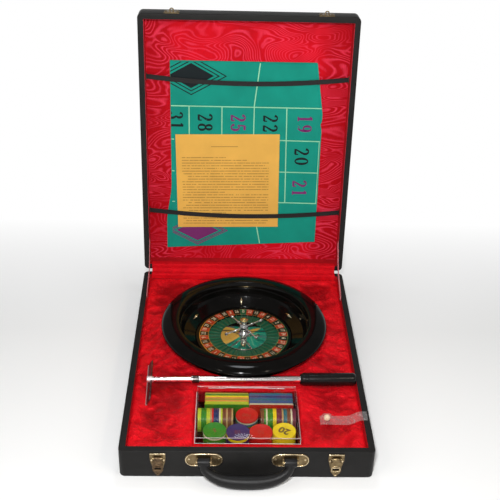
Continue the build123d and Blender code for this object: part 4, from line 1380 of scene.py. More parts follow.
def softened(
    node: str, name: str, width: float, material: Material, body: str, slot: str, steps: int = 2
) -> Piece:
    """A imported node's shape with its edges broken, standing for the node.

    Args:
        node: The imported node.
        name: The new piece's name.
        width: Width of the broken edges.
        material: Its material.
        body: The body that carries it.
        slot: The record's material slot.
        steps: Faces across a broken edge.

    Returns:
        The piece.
    """
    piece = Bench.from_node(node, name)
    Bench.modify(
        piece,
        "BEVEL",
        width=width,
        segments=steps,
        limit_method="ANGLE",
        angle_limit=math.radians(38),
        use_clamp_overlap=True,
    )
    Bench.smooth(dress(piece, material), 32)
    return mount(piece, body, slot, node)


def mark_uv(piece: Piece, rule: Callable[[Vector], tuple[float, float]]) -> Piece:
    """Writes a piece's own UV map from the place of each corner.

    Args:
        piece: The piece.
        rule: Turns a corner's place into its (u, v).

    Returns:
        The same piece.
    """
    layer = piece.data.uv_layers.active or piece.data.uv_layers.new(name="weave")
    for loop in piece.data.loops:
        layer.data[loop.index].uv = rule(piece.data.vertices[loop.vertex_index].co)
    return piece


def smooth_step(value: float, low: float, high: float) -> float:
    """0 below low, 1 above high, smooth between."""
    share = min(1.0, max(0.0, (value - low) / (high - low)))
    return share * share * (3 - 2 * share)


# -------------------------------------------------------------------------------------- case
@dataclass
class Case:
    """Leatherette, linings, boards and hinges of the two halves."""

    half_width: float = 180 * MM
    half_depth: float = 230 * MM
    inner_width: float = 170.4 * MM
    inner_depth: float = 220.4 * MM
    skin: float = 0.8 * MM
    corner: float = 8.0 * MM
    base_rim: float = 49 * MM
    lid_rim: float = 50 * MM
    lid_top: float = 84 * MM
    strip_length: float = 332 * MM
    strip_thickness: float = 0.6 * MM
    leatherette: Leatherette = Leatherette()
    lining: Woven = Woven(colour=(0.42, 0.005, 0.010), thread=0.4 * MM, fuzz=0.10, roughness=0.7)
    # The hem is a real turned edge of the lining; its pink, far lighter than the lining, is a painted sheen
    # along that edge.
    hem: Satin = Satin(colour=(0.74, 0.060, 0.10), roughness=0.4)
    moire: Moire = Moire()

    def build(self) -> None:
        """Makes both halves."""
        skin = self.leatherette.material("black_leatherette")
        self.base(skin)
        self.lid(skin)
        self.linings()
        self.boards()

    def covered(self, name: str, low: float, high: float, half: Half) -> Piece:
        """Leatherette over one half, turned in over its rim.

        Args:
            name: The piece's name.
            low: Its lowest level as it lies shut.
            high: Its highest level.
            half: Which half of the case.

        Returns:
            The covering, as it lies shut.
        """
        x, y, t = self.half_width, self.half_depth, self.skin
        shell = Bench.block(name, (-x, -y, low), (x, y, high))
        Bench.bevel(shell, self.corner, 8, lambda middle, way: abs(way.z) > 0.9)
        hollow = Bench.block("hollow", (t - x, t - y, low + t), (x - t, y - t, high - t))
        Bench.bevel(hollow, self.corner - t, 8, lambda middle, way: abs(way.z) > 0.9)
        Bench.cut(shell, hollow)
        mouth_low, mouth_high = (high - 3 * MM, high + MM) if half is Half.BASE else (low - MM, low + 3 * MM)
        mouth = Bench.block(
            "mouth",
            (-self.inner_width, -self.inner_depth, mouth_low),
            (self.inner_width, self.inner_depth, mouth_high),
        )
        Bench.cut(shell, mouth)
        rim, back = (high, low) if half is Half.BASE else (low, high)

        def outside(middle: Vector) -> bool:
            """Whether a place lies outside the mouth."""
            return abs(middle.x) > self.inner_width + 3 * MM or abs(middle.y) > self.inner_depth + 3 * MM

        def at(middle: Vector, way: Vector, level: float) -> bool:
            """Whether an edge runs level at a height."""
            return abs(middle.z - level) < 0.01 * MM and abs(way.z) < 0.1

        def round_edge(middle: Vector) -> bool:
            """Whether an edge runs round the outside."""
            near_x = abs(abs(middle.x) - x) < 9 * MM and abs(middle.x) > x - 8.1 * MM
            near_y = abs(abs(middle.y) - y) < 9 * MM and abs(middle.y) > y - 8.1 * MM
            return abs(middle.x) > x - 0.02 * MM or abs(middle.y) > y - 0.02 * MM or (near_x and near_y)

        Bench.bevel(shell, 2.2 * MM, 4, lambda m, w: at(m, w, back) and outside(m) and round_edge(m))
        Bench.bevel(shell, 1.7 * MM, 4, lambda m, w: at(m, w, rim) and outside(m) and round_edge(m))
        return Bench.smooth(shell, 35)

    def base(self, skin: Material) -> None:
        """Leatherette of the base."""
        shell = self.covered("base_leatherette", 0.0, self.base_rim, Half.BASE)
        mount(dress(shell, skin), "base", "leatherette", "base_wall_covering", "base_bottom_covering")

    def lid(self, skin: Material) -> None:
        """Leatherette of the lid and the hem of its lining."""
        shell = self.covered("lid_leatherette", self.lid_rim, self.lid_top, Half.LID)
        mount(dress(swing(shell), skin), "lid", "leatherette", "lid_wall_covering", "lid_top_covering")
        z0, z1 = self.lid_rim + 0.5 * MM, self.lid_rim + 2.6 * MM
        x, y, t = self.inner_width, self.inner_depth, 0.35 * MM
        strips = [
            Bench.block("hem_left", (-x, -y, z0), (t - x, y - 3 * MM, z1)),
            Bench.block("hem_right", (x - t, -y, z0), (x, y - 3 * MM, z1)),
            Bench.block("hem_front", (-x, -y, z0), (x, t - y, z1)),
        ]
        hem = Bench.join("lid_lining_hem", strips)
        Bench.bevel(hem, 0.12 * MM, 2)
        hem = Bench.smooth(dress(swing(hem), self.hem.material("hem_painted_sheen")), 40)
        mount(hem, "lid", "red_lining")

    def linings(self) -> None:
        """Linings that stay as packed, and the strip over the hinge seam."""
        lining = self.lining.material("red_wall_lining")
        finish_node("base_wall_lining", lining)
        finish_node("lid_wall_lining", lining)
        finish_node("lid_panel_lining", self.moire.material("red_moire"))
        self.seam_strip()

    def seam_strip(self) -> None:
        """Lining strip that runs from inside the base over the hinge into the lid."""
        wall, over = self.inner_depth - 0.7 * MM, 0.75 * MM
        hinge_y, hinge_z = HINGE_LINE[1], HINGE_LINE[2]
        lid = lid_open()
        bend = 3.9 * MM
        line = [Vector((0, wall, self.base_rim - 9 * MM)), Vector((0, wall, self.base_rim + over - MM))]
        line.append(Vector((0, wall + 1.2 * MM, self.base_rim + over)))
        line.append(Vector((0, hinge_y - bend, self.base_rim + over)))
        for degrees in (112, 132, 152):
            angle = math.radians(degrees)
            across, up = bend * math.cos(angle) * 1.02, bend * math.sin(angle) * 1.02
            line.append(Vector((0, hinge_y + across, hinge_z + up)))
        line.append(lid @ Vector((0, hinge_y - bend, self.lid_rim - over)))
        line.append(lid @ Vector((0, wall + 1.2 * MM, self.lid_rim - over)))
        line.append(lid @ Vector((0, wall, self.lid_rim - over + MM)))
        line.append(lid @ Vector((0, wall, self.lid_rim + 9 * MM)))
        lengths = [0.0]
        for a, b in zip(line, line[1:]):
            lengths.append(lengths[-1] + (b - a).length)
        total = lengths[-1]

        def on_line(distance: float) -> Vector:
            """The place at a distance along the line."""
            for index in range(len(line) - 1):
                if distance <= lengths[index + 1] or index == len(line) - 2:
                    span = lengths[index + 1] - lengths[index]
                    return line[index].lerp(line[index + 1], min(1.0, (distance - lengths[index]) / span))
            return line[-1]

        half = self.strip_length / 2
        strip = Bench.grid("hinge_seam_lining", (-half, 0), (half, total), 0.0, 1.6 * MM)
        mark_uv(strip, lambda co: (co.x, co.y))

        def laid(co: Vector) -> Vector:
            """A corner of the lining on the seam's line."""
            place = on_line(co.y)
            ahead = on_line(min(total, co.y + 0.4 * MM)) - on_line(max(0.0, co.y - 0.4 * MM))
            outward = Vector((0, -ahead.z, ahead.y)).normalized() * -1
            if outward.y > 0.2:
                outward = -outward
            ripple = noise.noise(Vector((co.x * 38, co.y * 90, 4.0)))
            middle = math.sin(math.pi * co.y / total)
            return Vector((co.x, place.y, place.z)) + outward * (0.28 * MM * ripple * middle)

        Bench.shaped(strip, laid)
        Bench.modify(strip, "SOLIDIFY", thickness=self.strip_thickness, offset=0.0)
        Bench.tidy(strip)
        # Painted highlight: the crumple also lightens this satin's crease ridges in its colour.
        finish = Satin(roughness=0.62, lustre=0.0, crumple=0.6 * MM).material("red_seam_satin_painted_highlight")
        Bench.smooth(dress(strip, finish), 60)
        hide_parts("hinge_seam_strip")
        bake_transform(strip)
        log.info("hinge_seam_lining: across the hinge")

    def boards(self) -> None:
        """Plywood, battens, card and the hinges' brass."""
        plywood = Plywood().material("birch_plywood")
        for node in (
            "base_front_wall",
            "base_rear_wall",
            "base_side_walls",
            "base_bottom_board",
            "lid_front_wall",
            "lid_rear_wall",
            "lid_side_walls",
            "lid_top_board",
            "platform_battens",
        ):
            finish_node(node, plywood)
        finish_node("platform_board", Board().material("pulp_board"))
        brass = Metal((0.50, 0.34, 0.14), (0.18, 0.11, 0.05), 0.26, 0.5).material("hinge_brass")
        softened("hinge_base_leaves", "hinge_leaves_on_base", 0.25 * MM, brass, "base", "hinge_brass")
        softened("hinge_lid_leaves", "hinge_leaves_on_lid", 0.25 * MM, brass, "lid", "hinge_brass")
        softened("hinge_pins", "hinge_pin_rods", 0.2 * MM, brass, "base", "hinge_brass")


# -------------------------------------------------------------------------------------- padded insert
@dataclass
class PaddedInsert:
    """Loose satin over wadding, with a round and a square well."""

    half_width: float = 170.4 * MM
    half_depth: float = 220.4 * MM
    top: float = 40 * MM
    under: float = 34.05 * MM
    wheel: tuple[float, float] = (-1.5 * MM, 56 * MM)
    well: float = 118 * MM
    box_low: tuple[float, float] = (-76.4 * MM, -207.4 * MM)
    box_high: tuple[float, float] = (78.0 * MM, -90.0 * MM)
    step: float = 3.4 * MM
    excess: float = 0.10
    fold: float = 2.5 * MM
    plump: float = 38.7 * MM
    seed: int = 8  # of the swirls, so that the folds come out the same every time
    crest: float = 42.6 * MM
    trough: float = 35.4 * MM
    # Painted shade and painted highlight: this satin is darkened in its fold hollows between the given
    # heights and lightened along its creases.
    satin: Satin = Satin(colour=(0.73, 0.0068, 0.0135), crumple=1.6 * MM, hollow=(35.4 * MM, 41.6 * MM))

    def build(self) -> None:
        """Makes the pad and dresses the linings of the wells."""
        noise.seed_set(self.seed)
        satin = self.satin.material("red_satin")
        pad = self.net()
        self.let_it_fall(pad)
        heights = [corner.co.z for corner in pad.data.vertices]
        mean = sum(heights) / len(heights)

        def plumped(co: Vector) -> Vector:
            """A corner raised to its fold's height."""
            level = self.plump - 0.004 * co.y
            return Vector((co.x, co.y, level + 0.45 * (co.z - mean) + self.drift(co)))

        Bench.shaped(pad, plumped)
        self.limit(pad)
        self.close(pad)
        Bench.smooth(dress(pad, satin), 80)
        mount(pad, "base", "red_satin", "base_floor_pad")
        finish_node("well_linings", satin)

    def in_box(self, x: float, y: float, play: float) -> bool:
        """Whether a place lies in the square well, grown by a play."""
        (x0, y0), (x1, y1) = self.box_low, self.box_high
        return x0 - play < x < x1 + play and y0 - play < y < y1 + play

    def net(self) -> Piece:
        """The flat satin with its two holes, its edges on their true lines."""
        low, high = (-self.half_width, -self.half_depth), (self.half_width, self.half_depth)
        pad = Bench.grid("base_satin_pad", low, high, 38 * MM, self.step)
        cx, cy = self.wheel

        def in_hole(middle: Vector, normal: Vector) -> bool:
            """Whether a face lies over one of the wells."""
            return math.hypot(middle.x - cx, middle.y - cy) < self.well or self.in_box(middle.x, middle.y, 0)

        with Bench.editing(pad):
            Bench.pick(pad, in_hole)
            bpy.ops.mesh.delete(type="FACE")
        (x0, y0), (x1, y1) = self.box_low, self.box_high
        rims = self.rim_corners(pad)
        for index in rims:
            co = pad.data.vertices[index].co
            ring = math.hypot(co.x - cx, co.y - cy)
            if ring < self.well + 2 * self.step:
                co.x = cx + (co.x - cx) * self.well / ring
                co.y = cy + (co.y - cy) * self.well / ring
            elif self.in_box(co.x, co.y, 0.9 * self.step):
                gaps = {
                    "x0": abs(co.x - x0),
                    "x1": abs(co.x - x1),
                    "y0": abs(co.y - y0),
                    "y1": abs(co.y - y1),
                }
                nearest = min(gaps, key=gaps.get)
                if nearest == "x0" or gaps["x0"] < 0.5 * self.step:
                    co.x = x0
                if nearest == "x1" or gaps["x1"] < 0.5 * self.step:
                    co.x = x1
                if nearest == "y0" or gaps["y0"] < 0.5 * self.step:
                    co.y = y0
                if nearest == "y1" or gaps["y1"] < 0.5 * self.step:
                    co.y = y1
        pad.data.update()
        return pad

    def rim_corners(self, pad: Piece) -> set[int]:
        """Corners on the sheet's outer edge and round its holes."""
        uses: dict[tuple[int, int], int] = {}
        for face in pad.data.polygons:
            for key in face.edge_keys:
                uses[key] = uses.get(key, 0) + 1
        return {corner for key, count in uses.items() if count == 1 for corner in key}

    def drift(self, co: Vector) -> float:
        """Shallow puckers, in metres, that start the folds in their real places."""
        place = Vector((co.x, co.y, 0.0))
        swirl = noise.noise_vector(place * 9.0 + Vector((3.1, 0.4, 2.0)))
        wide = 1.0 - 3.2 * abs(noise.noise(place * 19.0 + 2.4 * swirl))
        crease = 1.0 - 3.2 * abs(noise.noise(place * 44.0 + 3.2 * swirl + Vector((7.0, 1.0, 5.0))))
        fine = 1.0 - 3.2 * abs(noise.noise(place * 88.0 + 2.4 * swirl + Vector((2.0, 8.0, 1.0))))
        return self.fold * (0.34 * max(-1.0, wide) + 0.66 * max(-1.0, crease) + 0.34 * max(-1.0, fine))

    def let_it_fall(self, pad: Piece) -> None:
        """Lets a cloth that is cut too large buckle between its glued edges."""
        rims = self.rim_corners(pad)
        Bench.shaped(pad, lambda co: Vector((co.x, co.y, co.z + self.drift(co))))
        held = pad.vertex_groups.new(name="glued")
        held.add(sorted(rims), 1.0, "REPLACE")
        loose = [v.index for v in pad.data.vertices if v.index not in rims]
        held.add(loose, 0.035, "REPLACE")
        cloth = pad.modifiers.new("cloth", "CLOTH")
        settings = cloth.settings
        settings.quality = 7
        settings.mass = 0.12
        settings.tension_stiffness = 22
        settings.compression_stiffness = 22
        settings.shear_stiffness = 8
        settings.bending_stiffness = 0.35
        settings.tension_damping = 6
        settings.compression_damping = 6
        settings.air_damping = 2
        settings.shrink_min = -self.excess
        settings.vertex_group_mass = "glued"
        settings.pin_stiffness = 0.6
        settings.effector_weights.gravity = 0.12
        cloth.collision_settings.use_collision = False
        cloth.collision_settings.use_self_collision = False
        cloth.point_cache.frame_start = 1
        cloth.point_cache.frame_end = 45
        for frame in range(1, 46):
            bpy.context.scene.frame_set(frame)
        Bench.take(pad)
        bpy.ops.object.modifier_apply(modifier=cloth.name)
        bpy.context.scene.frame_set(1)
        pad.vertex_groups.clear()

    def limit(self, pad: Piece) -> None:
        """Keeps the folds within the wadding's depth and low where something lies on them."""
        rims = self.rim_corners(pad)
        rest_x, rest_y = self.half_width, self.half_depth
        for corner in pad.data.vertices:
            co = corner.co
            blade_x = max(0.0, abs(co.x + 129 * MM) - 25 * MM)
            blade = math.hypot(blade_x, max(0.0, abs(co.y + 81 * MM) - 49 * MM))
            bag = math.hypot(max(0.0, 106 * MM - co.x), max(0.0, abs(co.y + 155 * MM) - 10 * MM))
            grip = math.hypot(max(0.0, 82 * MM - co.x), max(0.0, abs(co.y + 74.5 * MM) - 7 * MM))
            near = min(bag, grip)
            roof = 39.7 * MM + (self.crest - 39.7 * MM) * smooth_step(near, 5 * MM, 26 * MM)
            roof = min(roof, 40.4 * MM + (self.crest - 40.4 * MM) * smooth_step(blade, 2 * MM, 20 * MM))
            middle = (self.crest + self.trough) / 2
            high, low = roof, self.trough
            if co.z > middle:
                co.z = middle + (high - middle) * math.tanh((co.z - middle) / (high - middle))
            else:
                co.z = middle - (middle - low) * math.tanh((middle - co.z) / (middle - low))
            co.x = min(rest_x, max(-rest_x, co.x))
            co.y = min(rest_y, max(-rest_y, co.y))
            if corner.index in rims:
                co.z = 38.0 * MM
        pad.data.update()

    def close(self, pad: Piece) -> None:
        """Gives the satin its wadding underneath and one level of smoothing."""
        Bench.modify(pad, "SUBSURF", levels=1, render_levels=1)
        cx, cy = self.wheel
        for corner in pad.data.vertices:
            co = corner.co
            ring = math.hypot(co.x - cx, co.y - cy)
            if ring < self.well:
                co.x, co.y = cx + (co.x - cx) * self.well / ring, cy + (co.y - cy) * self.well / ring
        pad.data.update()
        top = {v.index for v in pad.data.vertices}
        with Bench.editing(pad):
            bpy.ops.mesh.select_all(action="SELECT")
            bpy.ops.mesh.extrude_region_move(TRANSFORM_OT_translate={"value": (0, 0, 30 * MM)})
        for corner in pad.data.vertices:
            if corner.index in top and corner.co.z < 60 * MM:
                corner.co.z = self.under
            else:
                corner.co.z -= 30 * MM
        pad.data.update()
        Bench.tidy(pad, 0.000001)


# -------------------------------------------------------------------------------------- what the lid carries
class Ink(Enum):
    """Printing inks of the layout cloth."""

    BLACK = "black"
    PURPLE = "purple"
    PALE = "pale"


@dataclass(frozen=True)
class Numeral:
    """One printed number: its digits, its middle on the shut lid and its ink."""

    text: str
    x: float
    y: float
    ink: Ink


@dataclass
class LayoutCloth:
    """Printed cloth, folded in four and tucked under the straps."""

    left: float = -130 * MM
    right: float = 130 * MM
    front: float = -146.5 * MM
    back: float = 197 * MM
    slant: float = 14 * MM
    step_back: float = 13 * MM
    face: float = 74.62 * MM  # the layer that shows, as it lies shut
    layer: float = 0.72 * MM
    layers: int = 4
    print_gap: float = 0.07 * MM
    flat: tuple[float, float] = (0.345, 1.02)
    cloth: Woven = Woven(
        colour=(0.0045, 0.265, 0.195), thread=0.55 * MM, fuzz=0.16, centre=HINGE_LINE, turn=(-LID_SWING, 0, 0)
    )
    inks: dict[Ink, Colour] = field(
        default_factory=lambda: {
            Ink.BLACK: (0.006, 0.011, 0.013),
            Ink.PURPLE: (0.175, 0.022, 0.135),
            Ink.PALE: (0.30, 0.66, 0.40),
        }
    )
    numerals: tuple[Numeral, ...] = (
        Numeral("31", -121.5, -44.0, Ink.BLACK),
        Numeral("28", -71.0, -41.5, Ink.BLACK),
        Numeral("25", -14.5, -41.5, Ink.PURPLE),
        Numeral("22", 41.0, -41.5, Ink.BLACK),
        Numeral("19", 100.0, -41.5, Ink.PURPLE),
        Numeral("20", 97.5, 18.0, Ink.BLACK),
        Numeral("21", 96.5, 78.0, Ink.PURPLE),
    )

    def wave(self, x: float, y: float) -> float:
        """How far the cloth lies back from its highest layer at a place."""
        soft = noise.noise(Vector((x * 9, y * 7, 1.0))) + 0.5 * noise.noise(Vector((x * 24, y * 15, 3.0)))
        rear = smooth_step(abs(y - 123 * MM), 6 * MM, 50 * MM)
        pressed = rear * smooth_step(abs(y + 121 * MM), 6 * MM, 40 * MM)
        return (0.42 + 0.42 * soft * (0.35 + 0.65 * pressed)) * MM

    def edge_right(self, y: float) -> float:
        """Right edge at a place along the lid."""
        share = min(1.0, max(0.0, (y - self.front) / (91 * MM)))
        notch = 2.6 * MM * math.exp(-(((y + 34.5 * MM) / (5 * MM)) ** 2))
        return self.right - self.step_back * (1 - share) - notch

    def edge_back(self, x: float) -> float:
        """Rear edge at a place across the lid."""
        return self.back - self.slant * (x - self.left) / (self.right - self.left)

    def build(self) -> Piece:
        """Makes the cloth and its print.

        Returns:
            The folded cloth.
        """
        cloth = self.folded()
        pieces = [self.printed(ink) for ink in Ink]
        return cloth

    def folded(self) -> Piece:
        """One long sheet that doubles back on itself three times."""
        wide = self.right - self.left
        bend = 2.2 * MM
        run = wide + bend
        Bench.clear()
        bpy.ops.mesh.primitive_grid_add(x_subdivisions=232, y_subdivisions=56, size=1, location=(0.5, 0.5, 0))
        cloth = Bench.named("layout_cloth_folded")
        mark_uv(cloth, lambda co: (co.x * self.layers * run, co.y * (self.back - self.front)))

        def laid(co: Vector) -> Vector:
            """A corner of the folded cloth."""
            along = co.x * self.layers
            index = min(self.layers - 1, int(along))
            share = along - index
            ends = bend / run
            across = share if index % 2 == 0 else 1 - share
            depth = index * self.layer
            if share > 1 - ends and index < self.layers - 1:
                turn = (share - (1 - ends)) / ends * math.pi / 2
                depth += self.layer / 2 * (1 - math.cos(turn))
            if share < ends and index > 0:
                turn = (1 - share / ends) * math.pi / 2
                depth -= self.layer / 2 * (1 - math.cos(turn))
            shift = (-3.2 if index > 1 else -0.6) * MM * index * smooth_step(co.y, 0.62, 0.86)
            y_rough = self.front + co.y * (self.back - self.front)
            left = self.left + (shift if index > 0 else 0.0)
            right = self.edge_right(y_rough) - (0.4 * MM * index)
            x = left + across * (right - left)
            y = self.front + co.y * (self.edge_back(x) - self.front)
            y -= 0.5 * MM * index * (1 - 2 * co.y)
            return Vector((x, y, self.face + depth + self.wave(x, y)))

        Bench.shaped(cloth, laid)
        Bench.modify(cloth, "SOLIDIFY", thickness=0.42 * MM, offset=1.0)
        Bench.smooth(dress(swing(cloth), self.cloth.material("layout_green_cloth")), 70)
        return mount(cloth, "cloth", "cloth_print", "layout_cloth")

    def strips(self) -> dict[Ink, list[list[tuple[float, float]]]]:
        """Outlines of the printed lines and diamonds, on the shut lid."""
        pale: list[list[tuple[float, float]]] = []

        def line(x0: float, y0: float, x1: float, y1: float, width: float = 1.7) -> None:
            """Adds one printed line."""
            way = Vector((x1 - x0, y1 - y0)).normalized() * width / 2
            start = [(x0 - way.y, y0 + way.x), (x1 - way.y, y1 + way.x)]
            pale.append(start + [(x1 + way.y, y1 - way.x), (x0 + way.y, y0 - way.x)])

        line(-129.5, -70, 128, -69.5)
        for x in (-98.8, -42.7, 12.3, 68.0):
            line(x, -70, x + (3.5 if x > 60 else 0.6), 107, 1.7)
        for y in (-10.4, 48.1, 106.7):
            line(-129.5, y, -125, y)
            line(56, y - 0.6, 128, y + 0.4)
        line(130 - 3.2, -9, 127.2, 107, 1.2)
        line(20.5, -146, 12, -70.5)
        line(19.5, 140, 29, 189)
        dark: list[list[tuple[float, float]]] = []
        purple: list[list[tuple[float, float]]] = []
        for ink_list, cx, cy, rise in ((dark, -95.0, -122.7, 33.7), (purple, -84.5, 163.0, 29.0)):
            reach = 60.4 if ink_list is dark else 55.0
            for outer, inner in ((38.5, 0.0), (48.5, 45.0), (reach, reach - 3.6)):
                ink_list.extend(self.diamond(cx, cy, outer, inner, rise / reach))
        return {Ink.PALE: pale, Ink.BLACK: dark, Ink.PURPLE: purple}

    @staticmethod
    def diamond(
        cx: float, cy: float, outer: float, inner: float, lean: float
    ) -> list[list[tuple[float, float]]]:
        """A diamond, or the four bars of a diamond's outline.

        Args:
            cx: Middle across the lid, in millimetres.
            cy: Middle along the lid.
            outer: Half its width outside.
            inner: Half its width inside, or 0 where it is filled.
            lean: Its height over its width.

        Returns:
            Outlines in millimetres.
        """
        outside = [(outer, 0.0), (0.0, outer * lean), (-outer, 0.0), (0.0, -outer * lean)]
        if inner <= 0:
            return [[(cx + x, cy + y) for x, y in outside]]
        inside = [(inner, 0.0), (0.0, inner * lean), (-inner, 0.0), (0.0, -inner * lean)]
        bars = []
        for index in range(4):
            after = (index + 1) % 4
            corners = [outside[index], outside[after], inside[after], inside[index]]
            bars.append([(cx + x, cy + y) for x, y in corners])
        return bars

    def printed(self, ink: Ink) -> Piece:
        """All that is printed in one ink, lying on the cloth.

        Args:
            ink: The ink.

        Returns:
            The print.
        """
        parts = []
        for index, outline in enumerate(self.strips()[ink]):
            ring = [(x * MM, y * MM, 0.0) for x, y in [*outline, outline[0]]]
            patch = Bench.drawn(f"patch_{index}", ring, closed=True)
            with Bench.editing(patch, Element.VERT):
                bpy.ops.mesh.select_all(action="SELECT")
                bpy.ops.mesh.edge_face_add()
            parts.append(patch)
        turned = Matrix(((0, 1, 0, 0), (1, 0, 0, 0), (0, 0, -1, 0), (0, 0, 0, 1)))
        for number in self.numerals:
            if number.ink is ink:
                place = Matrix.Translation((number.x * MM, number.y * MM, 0)) @ turned
                parts.append(PrintedDigits().number(number.text, place))
        sheet = Bench.join(f"layout_print_{ink.value}", parts)
        self.trim(sheet)
        for _ in range(5):
            with Bench.editing(sheet, Element.EDGE):
                long = Bench.pick(sheet, lambda m, w: True, Element.EDGE)
                shape = bmesh.from_edit_mesh(sheet.data)
                for edge in shape.edges:
                    edge.select_set(edge.calc_length() > 9 * MM)
                bmesh.update_edit_mesh(sheet.data)
                log.debug("%s: %d edges", sheet.name, long)
                bpy.ops.mesh.subdivide(number_cuts=1, quadcorner="INNERVERT")
        Bench.modify(sheet, "TRIANGULATE")
        gap = self.print_gap + (0.02 * MM if ink is Ink.BLACK else 0.0)
        Bench.shaped(sheet, lambda co: Vector((co.x, co.y, self.face + self.wave(co.x, co.y) - gap)))
        Bench.modify(sheet, "SOLIDIFY", thickness=0.05 * MM, offset=1.0)
        finish = Woven(colour=self.inks[ink], thread=0.55 * MM, fuzz=0.05, roughness=0.75)
        dress(swing(sheet), finish.material(f"print_{ink.value}"))
        return mount(sheet, "cloth", "cloth_print")

    def trim(self, sheet: Piece) -> None:
        """Cuts a print off at the cloth's edges."""
        low, high = self.left + 0.4 * MM, self.right - 0.5 * MM
        front = self.front + 0.4 * MM
        slope = Vector((self.slant, self.right - self.left, 0)).normalized()
        planes = [
            ((low, 0, 0), (-1, 0, 0)),
            ((high, 0, 0), (1, 0, 0)),
            ((0, front, 0), (0, -1, 0)),
            ((self.left, self.back - 0.5 * MM, 0), tuple(slope)),
        ]
        for place, way in planes:
            with Bench.editing(sheet, Element.VERT):
                bpy.ops.mesh.select_all(action="SELECT")
                bpy.ops.mesh.bisect(plane_co=place, plane_no=way, clear_outer=True, use_fill=False)


@dataclass
class PrintedDigits:
    """Heavy condensed numerals with slab serifs, drawn as strokes of two widths."""

    height: float = 25.6 * MM
    advance: float = 17.6 * MM
    width: float = 13.6 * MM
    thick: float = 4.3 * MM
    thin: float = 1.9 * MM

    def strokes(self, digit: str) -> list[tuple[list[tuple[float, float]], list[float]]]:
        """Centre lines of a digit in a box one high and one wide, with the weight at each point.

        Args:
            digit: The digit.

        Returns:
            (points, weights from 0 thin to 1 thick) of each stroke.
        """
        arc = self.arc
        shapes = {
            "0": [arc(0.5, 0.5, 0.36, 0.44, 0, 360, "side")],
            "1": [
                ([(0.5, 0.0), (0.5, 1.0)], [1, 1]),
                ([(0.22, 0.04), (0.78, 0.04)], [0.1, 0.1]),
                ([(0.2, 0.84), (0.5, 0.97)], [0.1, 0.3]),
            ],
            "2": [
                arc(0.47, 0.72, 0.33, 0.23, 168, -38, "side"),
                ([(0.73, 0.57), (0.42, 0.30), (0.17, 0.07)], [0.8, 0.35, 0.1]),
                ([(0.12, 0.06), (0.86, 0.06)], [0.75, 0.75]),
                ([(0.86, 0.04), (0.86, 0.26)], [0.1, 0.1]),
                ([(0.17, 0.76), (0.19, 0.80)], [1.1, 1.1]),
            ],
            "3": [
                arc(0.45, 0.74, 0.30, 0.21, 165, -80, "side"),
                arc(0.45, 0.27, 0.35, 0.24, 80, -168, "side"),
                ([(0.17, 0.77), (0.19, 0.80)], [1.1, 1.1]),
                ([(0.14, 0.24), (0.16, 0.20)], [1.1, 1.1]),
            ],
            "5": [
                arc(0.44, 0.30, 0.36, 0.27, 140, -165, "side"),
                ([(0.20, 0.48), (0.24, 0.95)], [0.2, 0.2]),
                ([(0.22, 0.93), (0.80, 0.93)], [0.8, 0.8]),
                ([(0.13, 0.24), (0.15, 0.20)], [1.1, 1.1]),
            ],
            "8": [arc(0.5, 0.74, 0.28, 0.21, 0, 360, "side"), arc(0.5, 0.27, 0.34, 0.24, 0, 360, "side")],
            "9": [
                arc(0.46, 0.68, 0.31, 0.27, 0, 360, "side"),
                arc(0.36, 0.58, 0.43, 0.53, 14, -88, "side"),
                ([(0.20, 0.12), (0.24, 0.10)], [1.1, 1.1]),
            ],
        }
        return shapes[digit]

    @staticmethod
    def arc(
        cx: float, cy: float, rx: float, ry: float, start: float, end: float, heavy: str
    ) -> tuple[list[tuple[float, float]], list[float]]:
        """Part of an ellipse, heavy at its sides and light at its top and foot."""
        count = max(6, int(abs(end - start) / 15))
        points, weights = [], []
        for index in range(count + 1):
            angle = math.radians(start + (end - start) * index / count)
            points.append((cx + rx * math.cos(angle), cy + ry * math.sin(angle)))
            weights.append(abs(math.cos(angle)) ** 1.3 if heavy == "side" else abs(math.sin(angle)))
        return points, weights

    def number(self, text: str, place: Matrix) -> Piece:
        """A number set about its middle.

        Args:
            text: Its digits.
            place: Where its middle goes and how it is turned.

        Returns:
            A flat piece.
        """
        parts = []
        for index, digit in enumerate(text):
            left = (index - len(text) / 2) * self.advance + (self.advance - self.width) / 2
            for points, weights in self.strokes(digit):
                line = [Vector((left + x * self.width, (y - 0.5) * self.height, 0)) for x, y in points]
                halves = [(self.thin + (self.thick - self.thin) * w) / 2 for w in weights]
                parts.append(self.stroke(line, halves, len(parts)))
        piece = Bench.join(f"number_{text}", parts)
        piece.data.transform(place)
        return piece

    @staticmethod
    def stroke(line: Sequence[Vector], halves: Sequence[float], level: int) -> Piece:
        """One stroke as a flat band that is drawn, then widened corner by corner.

        Args:
            line: Its centre line.
            halves: Half its width at each point.
            level: Its order, which keeps crossing strokes apart.

        Returns:
            The stroke.
        """
        Bench.clear()
        bpy.ops.mesh.primitive_grid_add(
            x_subdivisions=len(line) - 1, y_subdivisions=1, size=1, location=(0.5, 0, 0)
        )
        band = Bench.named(f"stroke_{level}")
        count = len(line) - 1
        for corner in band.data.vertices:
            index = min(count, max(0, round(corner.co.x * count)))
            here = line[index]
            way = (line[min(count, index + 1)] - line[max(0, index - 1)]).normalized()
            side = Vector((-way.y, way.x, 0)) * halves[index] * (1 if corner.co.y > 0 else -1)
            if line[0] == line[-1] or (line[0] - line[-1]).length < 0.01 * MM:
                way = (line[(index + 1) % count] - line[(index - 1) % count]).normalized()
                side = Vector((-way.y, way.x, 0)) * halves[index] * (1 if corner.co.y > 0 else -1)
            corner.co = here + side
        return band


